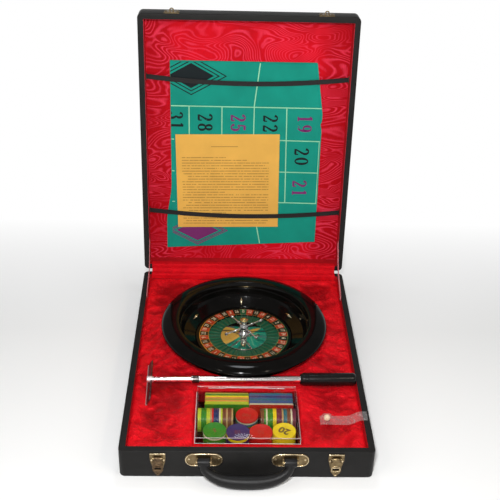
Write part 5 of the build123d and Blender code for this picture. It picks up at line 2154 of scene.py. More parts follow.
@dataclass
class LidContents:
    """Cloth, rules sheet, elastic straps and the ribbons that hold the lid."""

    half_width: float = 170.4 * MM
    sheet_low: tuple[float, float] = (-121 * MM, -21 * MM)
    sheet_high: tuple[float, float] = (59 * MM, 155 * MM)
    sheet_level: float = 73.95 * MM
    sheet_turn: float = -1.0
    strap_rows: tuple[float, float] = (-121 * MM, 123 * MM)
    strap_level: float = 73.0 * MM
    strap_width: float = 8 * MM
    strap_sag: float = 10 * MM
    strap_colour: Ribbed = Ribbed()
    ribbon: Ribbed = Ribbed(colour=(0.72, 0.20, 0.22), pitch=0.7 * MM, roughness=0.5, sheen=0.3)

    def build(self) -> None:
        """Makes what the lid holds."""
        LayoutCloth().build()
        self.rules()
        self.straps()
        self.stays()

    def rules(self) -> None:
        """Sheet of golden paper with a soft curl."""
        low, high = self.sheet_low, self.sheet_high
        sheet = Bench.grid("rules_paper", low, high, 0.0, 6 * MM)
        wide, deep = high[0] - low[0], high[1] - low[1]
        mark_uv(sheet, lambda co: ((co.x - low[0]) / wide, (co.y - low[1]) / deep))
        middle = Vector(((low[0] + high[0]) / 2, (low[1] + high[1]) / 2, 0))
        turn = Matrix.Rotation(math.radians(self.sheet_turn), 4, "Z")

        def laid(co: Vector) -> Vector:
            """A corner of the curling sheet."""
            u, v = (co.x - middle.x) / wide, (co.y - middle.y) / deep
            place = middle + turn @ Vector((co.x - middle.x, co.y - middle.y, 0))
            curl = 0.16 * MM * noise.noise(Vector((u * 3, v * 4, 7.0)))
            place.z = self.sheet_level + curl - 0.10 * MM * (abs(u) * 2) ** 3
            return place

        Bench.shaped(sheet, laid)
        Bench.modify(sheet, "SOLIDIFY", thickness=0.12 * MM, offset=0.0)
        Bench.smooth(dress(swing(sheet), RulesPaper().material("golden_paper")), 60)
        mount(sheet, "sheet", "sheet_paper", "rules_sheet")

    def straps(self) -> None:
        """Two black elastics, bowed a little towards the hinge."""
        end = self.half_width - 1.0 * MM
        made = []
        for index, row in enumerate(self.strap_rows):
            strap = Bench.grid(
                f"strap_{index}", (-end, -self.strap_width / 2), (end, self.strap_width / 2), 0.0, 2.0 * MM
            )
            mark_uv(strap, lambda co: (co.x, co.y))

            def laid(co: Vector, row: float = row) -> Vector:
                """A corner of the sagging elastic."""
                sag = self.strap_sag * (1 - (co.x / end) ** 2)
                cup = 0.12 * MM * (abs(co.y) / (self.strap_width / 2)) ** 2
                return Vector((co.x, row + co.y + sag, self.strap_level - cup))

            Bench.shaped(strap, laid)
            made.append(strap)
        straps = Bench.join("black_elastics", made)
        Bench.modify(straps, "SOLIDIFY", thickness=0.8 * MM, offset=0.0)
        Bench.smooth(dress(swing(straps), self.strap_colour.material("black_elastic")), 50)
        mount(straps, "lid", "elastic", "elastic_straps")
        for_plates = Metal((0.16, 0.13, 0.10), (0.06, 0.05, 0.04), 0.4, 0.6).material("dark_strap_metal")
        softened("strap_anchors", "strap_end_plates", 0.25 * MM, for_plates, "lid", "aged_brass")

    def stays(self) -> None:
        """A ribbon on each side between base and lid, slightly bowed."""
        low = Vector((0, 150.5 * MM, 46 * MM))
        high = lid_open() @ Vector((0, 175.5 * MM, 56.5 * MM))
        length = (high - low).length
        way = (high - low).normalized()
        side_way = Vector((0, way.z, -way.y))
        made = []
        for index, side in enumerate((-1, 1)):
            ribbon = Bench.grid(f"stay_{index}", (0, -6 * MM), (length, 6 * MM), 0.0, 2.4 * MM)
            mark_uv(ribbon, lambda co: (co.x, co.y))

            def laid(co: Vector, side: int = side) -> Vector:
                """A corner of the bowed ribbon."""
                share = co.x / length
                x = side * (self.half_width - 0.6 * MM)
                inward = 1.8 * MM * math.sin(math.pi * share) ** 2
                place = low + way * co.x + side_way * co.y
                return Vector((x - side * inward, place.y, place.z))

            Bench.shaped(ribbon, laid)
            made.append(ribbon)
        ribbons = Bench.join("stay_ribbon_pair", made)
        Bench.modify(ribbons, "SOLIDIFY", thickness=0.45 * MM, offset=0.0)
        Bench.smooth(dress(ribbons, self.ribbon.material("pink_ribbon")), 50)
        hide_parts("stay_ribbons")
        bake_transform(ribbons)
        log.info("stay_ribbon_pair: between base and lid")


# -------------------------------------------------------------------------------------- locks and handle
@dataclass
class FrontHardware:
    """Latches, catches, handle plates and their rivets on the front."""

    face: float = -231.0 * MM  # front of the plates
    base_rim: float = 49 * MM
    latch_spacing: float = 250 * MM
    latch_drop: float = 3.2 * MM
    latch_width: float = 22 * MM
    pin_y: float = -233.6 * MM
    pin_z: float = 38.5 * MM
    handle_span: float = 121 * MM
    plate_middle: float = 34.0 * MM
    plate_width: float = 53 * MM
    plate_height: float = 24 * MM
    brass: Metal = Metal((0.25, 0.185, 0.095), (0.13, 0.085, 0.045), 0.34, 0.45, spot=1.6 * MM)
    bright: Metal = Metal((0.74, 0.60, 0.38), (0.36, 0.26, 0.14), 0.22, 0.3, spot=1.6 * MM)
    dull: Metal = Metal((0.22, 0.145, 0.080), (0.07, 0.045, 0.028), 0.38, 0.6, spot=1.4 * MM)

    def build(self) -> None:
        """Makes the metal on the front."""
        brass = self.brass.material("aged_brass")
        bright = self.bright.material("bright_brass")
        dull = self.dull.material("tarnished_brass")
        for node, name, body, slot, metal in (
            ("latch_plates", "latch_shields", "base", "latch_brass", brass),
            ("latch_pins", "latch_pin_rods", "base", "latch_brass", bright),
            ("latch_lever_left", "latch_hasp_left", "latch_left", "latch_brass", dull),
            ("latch_lever_right", "latch_hasp_right", "latch_right", "latch_brass", brass),
            ("lid_catches", "lid_staples", "lid", "latch_brass", brass),
            ("handle_plates", "handle_ovals", "base", "aged_brass", brass),
            ("handle_pins", "handle_pin_rods", "base", "aged_brass", bright),
            ("handle_eyes", "handle_eye_rings", "handle", "aged_brass", dull),
        ):
            softened(node, name, 0.22 * MM, metal, body, slot)
        finish_node("base_rivets", bright)
        finish_node("lid_rivets", brass)
        self.latch_trim(bright)
        self.hasp_trim(dull, bright)
        self.oval_beads(bright)

    def latch_trim(self, bright: Material) -> None:
        """Bright rolled edge along the top of each latch shield."""
        top = self.base_rim - self.latch_drop
        rolls = []
        for side in (-1, 1):
            x = side * self.latch_spacing / 2
            half = self.latch_width / 2
            roll = Bench.block(
                f"roll_{side}",
                (x - half, self.face - 0.9 * MM, top - 1.7 * MM),
                (x + half, self.face + 0.2 * MM, top + 0.1 * MM),
            )
            rolls.append(Bench.bevel(roll, 0.45 * MM, 3))
        mount(Bench.smooth(dress(Bench.join("latch_rolled_edges", rolls), bright)), "base", "latch_brass")

    def hasp_trim(self, dull: Material, bright: Material) -> None:
        """Raised arch round each hasp's slot and a bead on its finger tip."""
        for side, body, metal in ((-1, "latch_left", dull), (1, "latch_right", bright)):
            x = side * self.latch_spacing / 2
            slot_z = self.pin_z - 18.5 * MM
            y = self.pin_y - 0.8 * MM
            reach = 5.9 * MM
            corners = rounded(
                [
                    (x - reach, slot_z - 3.4 * MM, 2 * MM),
                    (x + reach, slot_z - 3.4 * MM, 2 * MM),
                    (x + reach, slot_z + 6.0 * MM, 4.5 * MM),
                    (x - reach, slot_z + 6.0 * MM, 4.5 * MM),
                ],
                6,
                True,
            )
            arch = self.wire(f"hasp_arch_{body}", [(cx, y, cz) for cx, cz in corners], 0.55 * MM, True)
            tip = Bench.ball("tip", (x, y - 0.1 * MM, self.pin_z - 28.6 * MM), 1.5 * MM, 20)
            bar = Bench.block(
                "bar",
                (x - 4.2 * MM, y - 0.75 * MM, slot_z + 2.6 * MM),
                (x + 4.2 * MM, y + 0.1 * MM, slot_z + 4.2 * MM),
            )
            Bench.bevel(bar, 0.3 * MM, 3)
            trim = Bench.join(f"hasp_trim_{body}", [arch, tip, bar])
            mount(Bench.smooth(dress(trim, metal), 50), body, "latch_brass")

    def oval_beads(self, bright: Material) -> None:
        """Raised pale edge round each handle plate."""
        beads = []
        for side in (-1, 1):
            x = side * self.handle_span / 2
            half, rise = self.plate_width / 2 - 1.1 * MM, self.plate_height / 2 - 1.1 * MM
            straight = half - rise
            line = []
            for index in range(49):
                angle = math.pi / 2 - math.tau * index / 48
                shift = straight if math.cos(angle) > 1e-9 else (-straight if math.cos(angle) < -1e-9 else 0)
                across, up = rise * math.cos(angle), rise * math.sin(angle)
                line.append((x + shift + across, self.face, self.plate_middle + up))
            beads.append(self.wire(f"bead_{side}", line[:-1], 0.85 * MM, True))
        mount(Bench.smooth(dress(Bench.join("handle_oval_beads", beads), bright), 60), "base", "aged_brass")

    @staticmethod
    def wire(name: str, line: Sequence[Point], radius: float, closed: bool) -> Piece:
        """A round wire along a line.

        Args:
            name: The piece's name.
            line: Its corners.
            radius: Its radius.
            closed: Whether it closes on itself.

        Returns:
            The wire as a mesh.
        """
        Bench.clear()
        bpy.ops.curve.primitive_nurbs_path_add(location=(0, 0, 0))
        curve = bpy.context.view_layer.objects.active
        curve.data.splines.clear()
        spline = curve.data.splines.new("POLY")
        spline.points.add(len(line) - 1)
        for point, place in zip(spline.points, line):
            point.co = (*place, 1.0)
        spline.use_cyclic_u = closed
        curve.data.bevel_depth = radius
        curve.data.bevel_resolution = 3
        curve.data.use_fill_caps = not closed
        bpy.ops.object.convert(target="MESH")
        piece = Bench.named(name)
        return Bench.smooth(Bench.tidy(piece), 60)


@dataclass
class Handle:
    """Thick black grip, fuller in the middle, with its two end blocks."""

    span: float = 121 * MM
    reach: float = 31.3 * MM
    droop: float = 28.1
    pin_y: float = -238 * MM
    pin_z: float = 36 * MM
    leg: float = 6.3 * MM
    middle: float = 9.9 * MM
    block: float = 17 * MM
    grip: Plastic = Plastic((0.010, 0.0095, 0.0095), 0.42, 0.10 * MM, 1.0 * MM, level=0.22)

    def build(self) -> None:
        """Makes the grip and its two end blocks."""
        half = self.span / 2
        lie = Matrix.Rotation(math.radians(-self.droop), 4, "X")
        place = Matrix.Translation((0, self.pin_y, self.pin_z)) @ lie
        line = [
            (-half, 0.0, self.leg * 0.98),
            (-half + 0.3 * MM, -0.24 * self.reach, self.leg * 1.0),
            (-half + 5.5 * MM, -0.47 * self.reach, self.leg * 1.10),
            (-half + 15.5 * MM, -0.68 * self.reach, self.leg * 1.26),
            (-half + 29 * MM, -0.82 * self.reach, self.leg * 1.44),
            (-half + 44 * MM, -0.88 * self.reach, self.middle),
            (0.0, -0.895 * self.reach, self.middle * 1.03),
        ]
        full = line + [(-x, z, r) for x, z, r in reversed(line[:-1])]
        Bench.clear()
        bpy.ops.curve.primitive_nurbs_path_add(location=(0, 0, 0))
        curve = bpy.context.view_layer.objects.active
        curve.data.splines.clear()
        spline = curve.data.splines.new("NURBS")
        spline.points.add(len(full) - 1)
        for point, (x, z, radius) in zip(spline.points, full):
            point.co = (x, 0.0, z, 1.0)
            point.radius = radius / self.leg
        spline.order_u = 3
        spline.use_endpoint_u = True
        curve.data.bevel_depth = self.leg
        curve.data.bevel_resolution = 8
        curve.data.resolution_u = 8
        curve.data.use_fill_caps = True
        bpy.ops.object.convert(target="MESH")
        grip = Bench.tidy(Bench.named("handle_grip_tube"))
        parts = [grip]
        for side in (-1, 1):
            x = side * half
            low, high = (x - self.block / 2, 0, 0), (x + self.block / 2, 0, 0)
            end = Bench.rod(f"block_{side}", low, high, self.leg + 0.05 * MM, 40)
            hole = Bench.rod("hole", (x - self.block, 0, 0), (x + self.block, 0, 0), 3.02 * MM, 32)
            Bench.cut(end, hole)
            Bench.bevel(end, 0.9 * MM, 4, lambda m, w: abs(w.x) < 0.5 and math.hypot(m.y, m.z) > 5 * MM)
            parts.append(end)
        grip = Bench.join("handle_grip_moulding", parts)
        grip.data.transform(place)
        Bench.smooth(dress(grip, self.grip.material("handle_black")), 50)
        mount(grip, "handle", "handle_plastic", "handle_grip")


# -------------------------------------------------------------------------------------- wheel
@dataclass
class Bowl:
    """Turned black bowl with its felt, spindle and ball deflectors."""

    centre: Point = (-1.5 * MM, 56 * MM, 7.0 * MM)
    radius: float = 136
    edge: float = 57.4
    edge_thickness: float = 3.5
    crest: float = 110
    height: float = 64.7
    lip: float = 105
    track: float = 101.5
    apron_top: float = 39.2
    apron_foot: float = 30.2
    well: float = 80.5
    floor: float = 12
    foot: float = 96
    deflectors: int = 6
    deflector_start: float = 32.0
    deflector_circle: float = 91.5

    def outline(self) -> list[tuple[float, float]]:
        """The bowl's section in metres, from the spindle hole over the rim and back underneath."""
        under = self.crest + 4
        corners = [
            (3.0, self.floor, 0),
            (self.well, self.floor, 1),
            (self.well, self.apron_foot, 0.8),
            (self.track - 2.4, self.apron_top - 0.1, 2.5),
            (self.track + 0.2, self.apron_top + 5.0, 4),
            (self.track + 2.0, self.apron_top + 14.0, 1.0),
            (self.track + 3.6, self.apron_top + 14.8, 0.8),
            (self.lip - 0.2, self.height - 6.5, 3),
            (self.crest - 3.0, self.height - 0.2, 4.0),
            *self.roll(12),
            (self.radius, self.edge - self.edge_thickness, 1.2),
            (under + 8, self.edge - self.edge_thickness - 5, 8),
            (under - 2, self.apron_top, 12),
            (self.foot + 4, 12, 8),
            (self.foot, 0, 1),
            (self.foot - 8, 0, 1),
            (self.foot - 10, 6, 1),
            (3.0, 6, 0),
        ]
        return [(r * MM, z * MM) for r, z in rounded(corners, 8)]

    def roll(self, steps: int) -> list[tuple[float, float, float]]:
        """Swelling rim, a quarter of an oval from its crest down to its edge."""
        wide, high = self.radius - self.crest, self.height - self.edge + 2.4
        low = self.height - high
        turns = [math.pi / 2 * step / steps for step in range(steps + 1)]
        return [(self.crest + wide * math.sin(turn), low + high * math.cos(turn), 0) for turn in turns]

    def build(self) -> None:
        """Makes the bowl and dresses what is fixed to it."""
        finish = Bakelite(centre=self.centre).material("black_bakelite")
        bowl = Bench.turned("wheel_bowl_turning", self.outline(), self.centre, 160)
        Bench.smooth(dress(bowl, finish), 42)
        mount(bowl, "wheel", "bakelite", "wheel_bowl")
        finish_node("wheel_felt", Woven(colour=(0.02, 0.08, 0.04), fuzz=0.5).material("foot_felt"))
        finish_node("wheel_spindle", Metal((0.5, 0.49, 0.47), age=0.2).material("spindle_steel"))
        self.diamonds()

    def diamonds(self) -> None:
        """Ball deflectors: turned brass diamonds, by turns along and across the ball's way."""
        plated = Metal((0.86, 0.74, 0.50), (0.55, 0.42, 0.22), 0.15, 0.25, spot=1.2 * MM)
        brass = plated.material("deflector_brass")
        half = [(0.0, 8.4, 0), (0.8, 8.0, 0.3), (1.1, 5.0, 1.5), (2.9, 2.2, 1.2), (3.2, 0.0, 1.5)]
        below = [(r, -z, bend) for r, z, bend in half]
        outline = rounded(below + list(reversed(half[:-1])), 3)
        whole = Bench.turned("diamond", [(r * MM, z * MM) for r, z in outline], steps=20)
        with Bench.editing(whole, Element.VERT):
            bpy.ops.mesh.select_all(action="SELECT")
            bpy.ops.mesh.bisect(plane_co=(0, 0, 0), plane_no=(0, 1, 0), clear_inner=True, use_fill=True)
        whole.data.transform(Matrix.Rotation(math.pi / 2, 4, "X"))
        run = self.track - 2 - self.well
        rise = math.atan2(self.apron_top - self.apron_foot, run)
        share = (self.deflector_circle - self.well) / run
        level = self.apron_foot + share * (self.apron_top - self.apron_foot)
        made = []
        for index in range(self.deflectors):
            angle = math.radians(self.deflector_start + index * 360 / self.deflectors)
            turn = 0.0 if index % 2 == 0 else math.pi / 2
            place = (
                Matrix.Translation(self.centre)
                @ Matrix.Rotation(angle, 4, "Z")
                @ Matrix.Translation((self.deflector_circle * MM, 0, (level + 0.1) * MM))
                @ Matrix.Rotation(-rise, 4, "Y")
                @ Matrix.Rotation(turn, 4, "Z")
            )
            made.append(Bench.twin(whole, f"diamond_{index}", place))
        bpy.data.objects.remove(whole)
        ring = Bench.join("deflector_diamonds", made)
        Bench.smooth(dress(Bench.tidy(ring), brass), 45)
        mount(ring, "wheel", "polished_plate", "ball_deflectors")


@dataclass
class Rotor:
    """Turning part of the wheel: disc, numbers, pockets, polished plate and turret."""

    centre: Point = (-1.5 * MM, 56 * MM, 8.2 * MM)
    radius: float = 79.6
    rim: float = 29.4
    ring_outer: float = 73.8
    ring_inner: float = 58.5
    ring_top: float = 29.0
    pocket_inner: float = 38.5
    pocket_floor: float = 25.4
    plate_top: float = 27.2
    plate_slope: float = 8.0
    turret_height: float = 26.6
    arm_level: float = 12.8
    arm_start: float = 34.0
    order: tuple[int, ...] = (
        0, 32, 15, 19, 4, 21, 2, 25, 17, 34, 6, 27, 13, 36, 11, 30, 8, 23, 10,
        5, 24, 16, 33, 1, 20, 14, 31, 9, 22, 18, 29, 7, 28, 12, 35, 3, 26,
    )  # fmt: skip
    red: Colour = (0.32, 0.024, 0.010)
    black: Colour = (0.012, 0.010, 0.009)
    green: Colour = (0.008, 0.080, 0.035)

    def build(self) -> None:
        """Makes every turning piece."""
        chrome = Metal((0.86, 0.85, 0.84), (0.62, 0.60, 0.58), 0.08, 0.12).material("turret_chrome")
        gold = Metal((0.84, 0.60, 0.26), (0.55, 0.36, 0.14), 0.18, 0.2).material("gold_line")
        self.disc(gold)
        self.numbers(gold)
        self.pockets()
        self.plate()
        self.turret(chrome)
        finish_node("rotor_bush", Metal((0.55, 0.40, 0.20)).material("bush_bronze"))

    def disc(self, gold: Material) -> None:
        """Black disc with its skirt, and the gold lines at its edge."""
        seat, under = self.ring_top - 1.6, self.pocket_floor - 5
        corners = [
            (5.05, 14.3, 0),
            (12, 14.3, 0.5),
            (12, under, 1),
            (self.radius - 3, under, 1),
            (self.radius - 3, 14.4, 0.3),
            (self.radius, 14.4, 0.3),
            (self.radius, self.rim, 0.5),
            (self.ring_outer, self.rim, 0.2),
            (self.ring_outer, seat, 0),
            (self.ring_inner, seat, 0.1),
            (self.ring_inner, self.pocket_floor, 0),
            (self.pocket_inner, self.pocket_floor, 0),
            (self.pocket_inner, 26.2, 0),
            (5.05, 26.2, 0),
        ]
        outline = [(r * MM, z * MM) for r, z in rounded(corners, 3)]
        disc = Bench.turned("rotor_turning", outline, self.centre, 148)
        Bench.smooth(dress(disc, Bakelite(centre=self.centre, roughness=0.14).material("rotor_black")), 35)
        mount(disc, "rotor", "rotor_plastic", "rotor_disc")
        lines = []
        z = self.ring_top
        for name, r, wide in (("outer", self.ring_outer - 0.5, 0.9), ("inner", self.ring_inner + 0.35, 0.6)):
            inside, outside = r - wide / 2, r + wide / 2
            section = [(inside, z - 0.1), (outside, z - 0.1), (outside, z + 0.12), (inside, z + 0.12)]
            outline = [(a * MM, b * MM) for a, b in section]
            lines.append(Bench.turned(f"line_{name}", outline, self.centre, 148))
        mount(dress(Bench.join("rotor_gold_lines", lines), gold), "rotor", "number_plate")

    def cell_colour(self, number: int) -> int:
        """Slot of a number's colour: 0 red, 1 black, 2 green."""
        if number == 0:
            return 2
        low = number in range(1, 11) or number in range(19, 29)
        odd = number % 2 == 1
        return 0 if odd == low else 1

    def numbers(self, gold: Material) -> None:
        """Ring of coloured cells, each with its numeral and a gold line beside it."""
        count = len(self.order)
        steps = count * 4
        outline = [
            (self.ring_inner + 0.02, self.ring_top - 1.6),
            (self.ring_outer - 0.02, self.ring_top - 1.6),
            (self.ring_outer - 0.02, self.ring_top),
            (self.ring_inner + 0.02, self.ring_top),
        ]
        ring = Bench.turned("number_ring_cells", [(r * MM, z * MM) for r, z in outline], self.centre, steps)
        ring.data.transform(
            Matrix.Translation(self.centre)
            @ Matrix.Rotation(math.radians(-180 / count), 4, "Z")
            @ Matrix.Translation([-c for c in self.centre])
        )
        lacquers = [
            Plastic(self.red, 0.25, mottle=0.18).material("cell_red"),
            Plastic(self.black, 0.22, mottle=0.2).material("cell_black"),
            Plastic(self.green, 0.25, mottle=0.15).material("cell_green"),
        ]
        dress(ring, *lacquers)
        for face in ring.data.polygons:
            dx, dy = face.center.x - self.centre[0], face.center.y - self.centre[1]
            cell = round(math.atan2(dx, dy) / math.tau * count) % count
            face.material_index = self.cell_colour(self.order[cell])
        mount(ring, "rotor", "number_plate", "number_ring")
        numerals, rules = [], []
        middle = (self.ring_inner + self.ring_outer + 1) / 2
        for cell, number in enumerate(self.order):
            angle = math.tau * cell / count
            turn = (
                Matrix.Translation(self.centre)
                @ Matrix.Rotation(-angle, 4, "Z")
                @ Matrix.Translation((0, middle * MM, (self.ring_top + 0.05) * MM))
            )
            squeeze = Matrix.Diagonal((0.80 if number > 9 else 1.0, 1.15, 1, 1))
            place = turn @ squeeze
            numerals.append(Bench.written(f"numeral_{cell}", str(number), 8.8 * MM, place, 0.03 * MM))
            rule = Bench.block(
                f"rule_{cell}",
                (-0.18 * MM, (self.ring_inner + 0.6) * MM, (self.ring_top - 0.1) * MM),
                (0.18 * MM, (self.ring_outer - 0.8) * MM, (self.ring_top + 0.09) * MM),
            )
            half = Matrix.Rotation(-(angle + math.pi / count), 4, "Z")
            rule.data.transform(Matrix.Translation(self.centre) @ half)
            rules.append(rule)
        figures = Bench.join("ring_numerals", numerals)
        cream = Plastic((0.62, 0.50, 0.32), 0.35, mottle=0.1).material("numeral_cream")
        mount(dress(figures, cream), "rotor", "number_plate")
        mount(dress(Bench.join("ring_cell_lines", rules), gold), "rotor", "number_plate")

    def pockets(self) -> None:
        """Green pocket floor and the thin walls between the pockets."""
        section = [
            (self.pocket_inner + 0.05, self.pocket_floor - 0.1),
            (self.ring_inner - 0.05, self.pocket_floor - 0.1),
            (self.ring_inner - 0.05, self.pocket_floor + 0.35),
            (self.pocket_inner + 0.05, self.pocket_floor + 0.35),
        ]
        floor = Bench.turned("pocket_floor_green", [(r * MM, z * MM) for r, z in section], self.centre, 148)
        finish = Plastic((0.006, 0.060, 0.028), 0.34, 0.02 * MM, 1.4 * MM, 0.25).material("pocket_green")
        mount(dress(floor, finish), "rotor", "rotor_plastic")
        count = len(self.order)
        walls = []
        for index in range(count):
            wall = Bench.block(
                f"wall_{index}",
                ((self.pocket_inner + 0.1) * MM, -0.35 * MM, self.pocket_floor * MM),
                ((self.ring_inner - 0.1) * MM, 0.35 * MM, (self.pocket_floor + 3.2) * MM),
            )
            with Bench.editing(wall, Element.VERT):
                Bench.pick(wall, lambda co, n: co.x < 45 * MM and co.z > 27 * MM, Element.VERT)
                bpy.ops.transform.translate(value=(0, 0, -1.1 * MM))
            Bench.bevel(wall, 0.12 * MM, 1)
            turn = Matrix.Rotation(math.tau * (index + 0.5) / count, 4, "Z")
            wall.data.transform(Matrix.Translation(self.centre) @ turn)
            walls.append(wall)
        frets = Bench.join("pocket_walls", walls)
        green = Plastic((0.014, 0.105, 0.052), 0.30, mottle=0.2).material("fret_green")
        mount(Bench.smooth(dress(frets, green), 40), "rotor", "number_plate", "pocket_frets")

    def plate(self) -> None:
        """Polished plate, a very flat cone that mirrors the lid."""
        rise = (self.pocket_inner - 3.5) * math.tan(math.radians(self.plate_slope))
        slope = rise / (self.pocket_inner - 3.5)
        edge = self.pocket_inner - 0.03
        corners = [
            (3.5, self.plate_top - 1.4, 0),
            (edge, self.plate_top - 1.4, 0),
            (edge, self.plate_top, 0.3),
            (edge - 0.8, self.plate_top + 0.8 * slope, 0),
            (edge - 1.6, self.plate_top + 1.6 * slope, 0),
            (5.0, self.plate_top + rise - 1.5 * slope, 0),
            (3.5, self.plate_top + rise, 0),
        ]
        outline = [(r * MM, z * MM) for r, z in rounded(corners, 3)]
        plate = Bench.turned("mirror_plate", outline, self.centre, 160)
        Bench.crisp(dress(plate, Mirror(centre=self.centre).material("polished_nickel")), 50)
        mount(plate, "rotor", "polished_plate", "centre_plate")

    def turret(self, chrome: Material) -> None:
        """Turned column with four beaded arms under a brass cap."""
        foot = self.plate_top + (self.pocket_inner - 3.5) * math.tan(math.radians(self.plate_slope))
        arm, top = foot + self.arm_level, foot + self.turret_height
        corners = [
            (0, foot - 0.4, 0),
            (9.0, foot - 0.4, 0.4),
            (9.0, foot + 1.2, 0.6),
            (6.6, foot + 2.2, 0.8),
            (4.2, foot + 5.0, 2.0),
            (4.0, foot + 6.6, 0.8),
            (5.8, foot + 7.6, 0.5),
            (7.0, arm - 2.6, 1.8),
            (7.0, arm + 2.6, 1.8),
            (5.2, arm + 4.2, 0.5),
            (4.0, arm + 6.2, 1.0),
            (4.2, arm + 8.8, 1.2),
            (5.4, top - 3, 1.4),
            (5.5, top, 0.4),
            (0, top, 0),
        ]
        outline = [(r * MM, z * MM) for r, z in rounded(corners, 4)]
        pieces = [Bench.turned("column", outline, self.centre, 48)]
        profile = [
            (0.0, 0.0, 0),
            (1.7, 0.0, 0),
            (1.5, 14.0, 3),
            (2.3, 15.6, 0.5),
            (2.3, 17.4, 0.5),
            (1.4, 19.0, 2),
            (1.15, 32.0, 2),
            (2.5, 33.4, 1.2),
            (2.7, 35.6, 1.5),
            (2.2, 37.2, 1.2),
            (0.0, 38.0, 0),
        ]
        rod = Bench.turned("arm", [(r * MM, z * MM) for r, z in rounded(profile, 4)], steps=24)
        for index in range(4):
            turn = math.radians(self.arm_start + 90 * index)
            place = (
                Matrix.Translation(Vector(self.centre) + Vector((0, 0, arm * MM)))
                @ Matrix.Rotation(turn, 4, "Z")
                @ Matrix.Rotation(math.pi / 2, 4, "Y")
            )
            pieces.append(Bench.twin(rod, f"arm_{index}", place))
        bpy.data.objects.remove(rod)
        column = Bench.join("turret_column", pieces)
        mount(Bench.smooth(dress(column, chrome), 45), "rotor", "chromed_steel", "turret")
        corners = [(0, top, 0), (6.6, top, 0.4), (6.6, top + 1.3, 0.6), (5.2, top + 1.9, 0.5)]
        outline = rounded(corners + [(2.2, top + 3.4, 1.0), (0, top + 3.6, 0)], 5)
        cap = Bench.turned("turret_brass_cap", [(r * MM, z * MM) for r, z in outline], self.centre, 48)
        brass = Metal((0.80, 0.58, 0.24), (0.50, 0.33, 0.12), 0.20, 0.2).material("cap_brass")
        mount(Bench.smooth(dress(cap, brass), 45), "rotor", "cap_brass", "turret_cap")


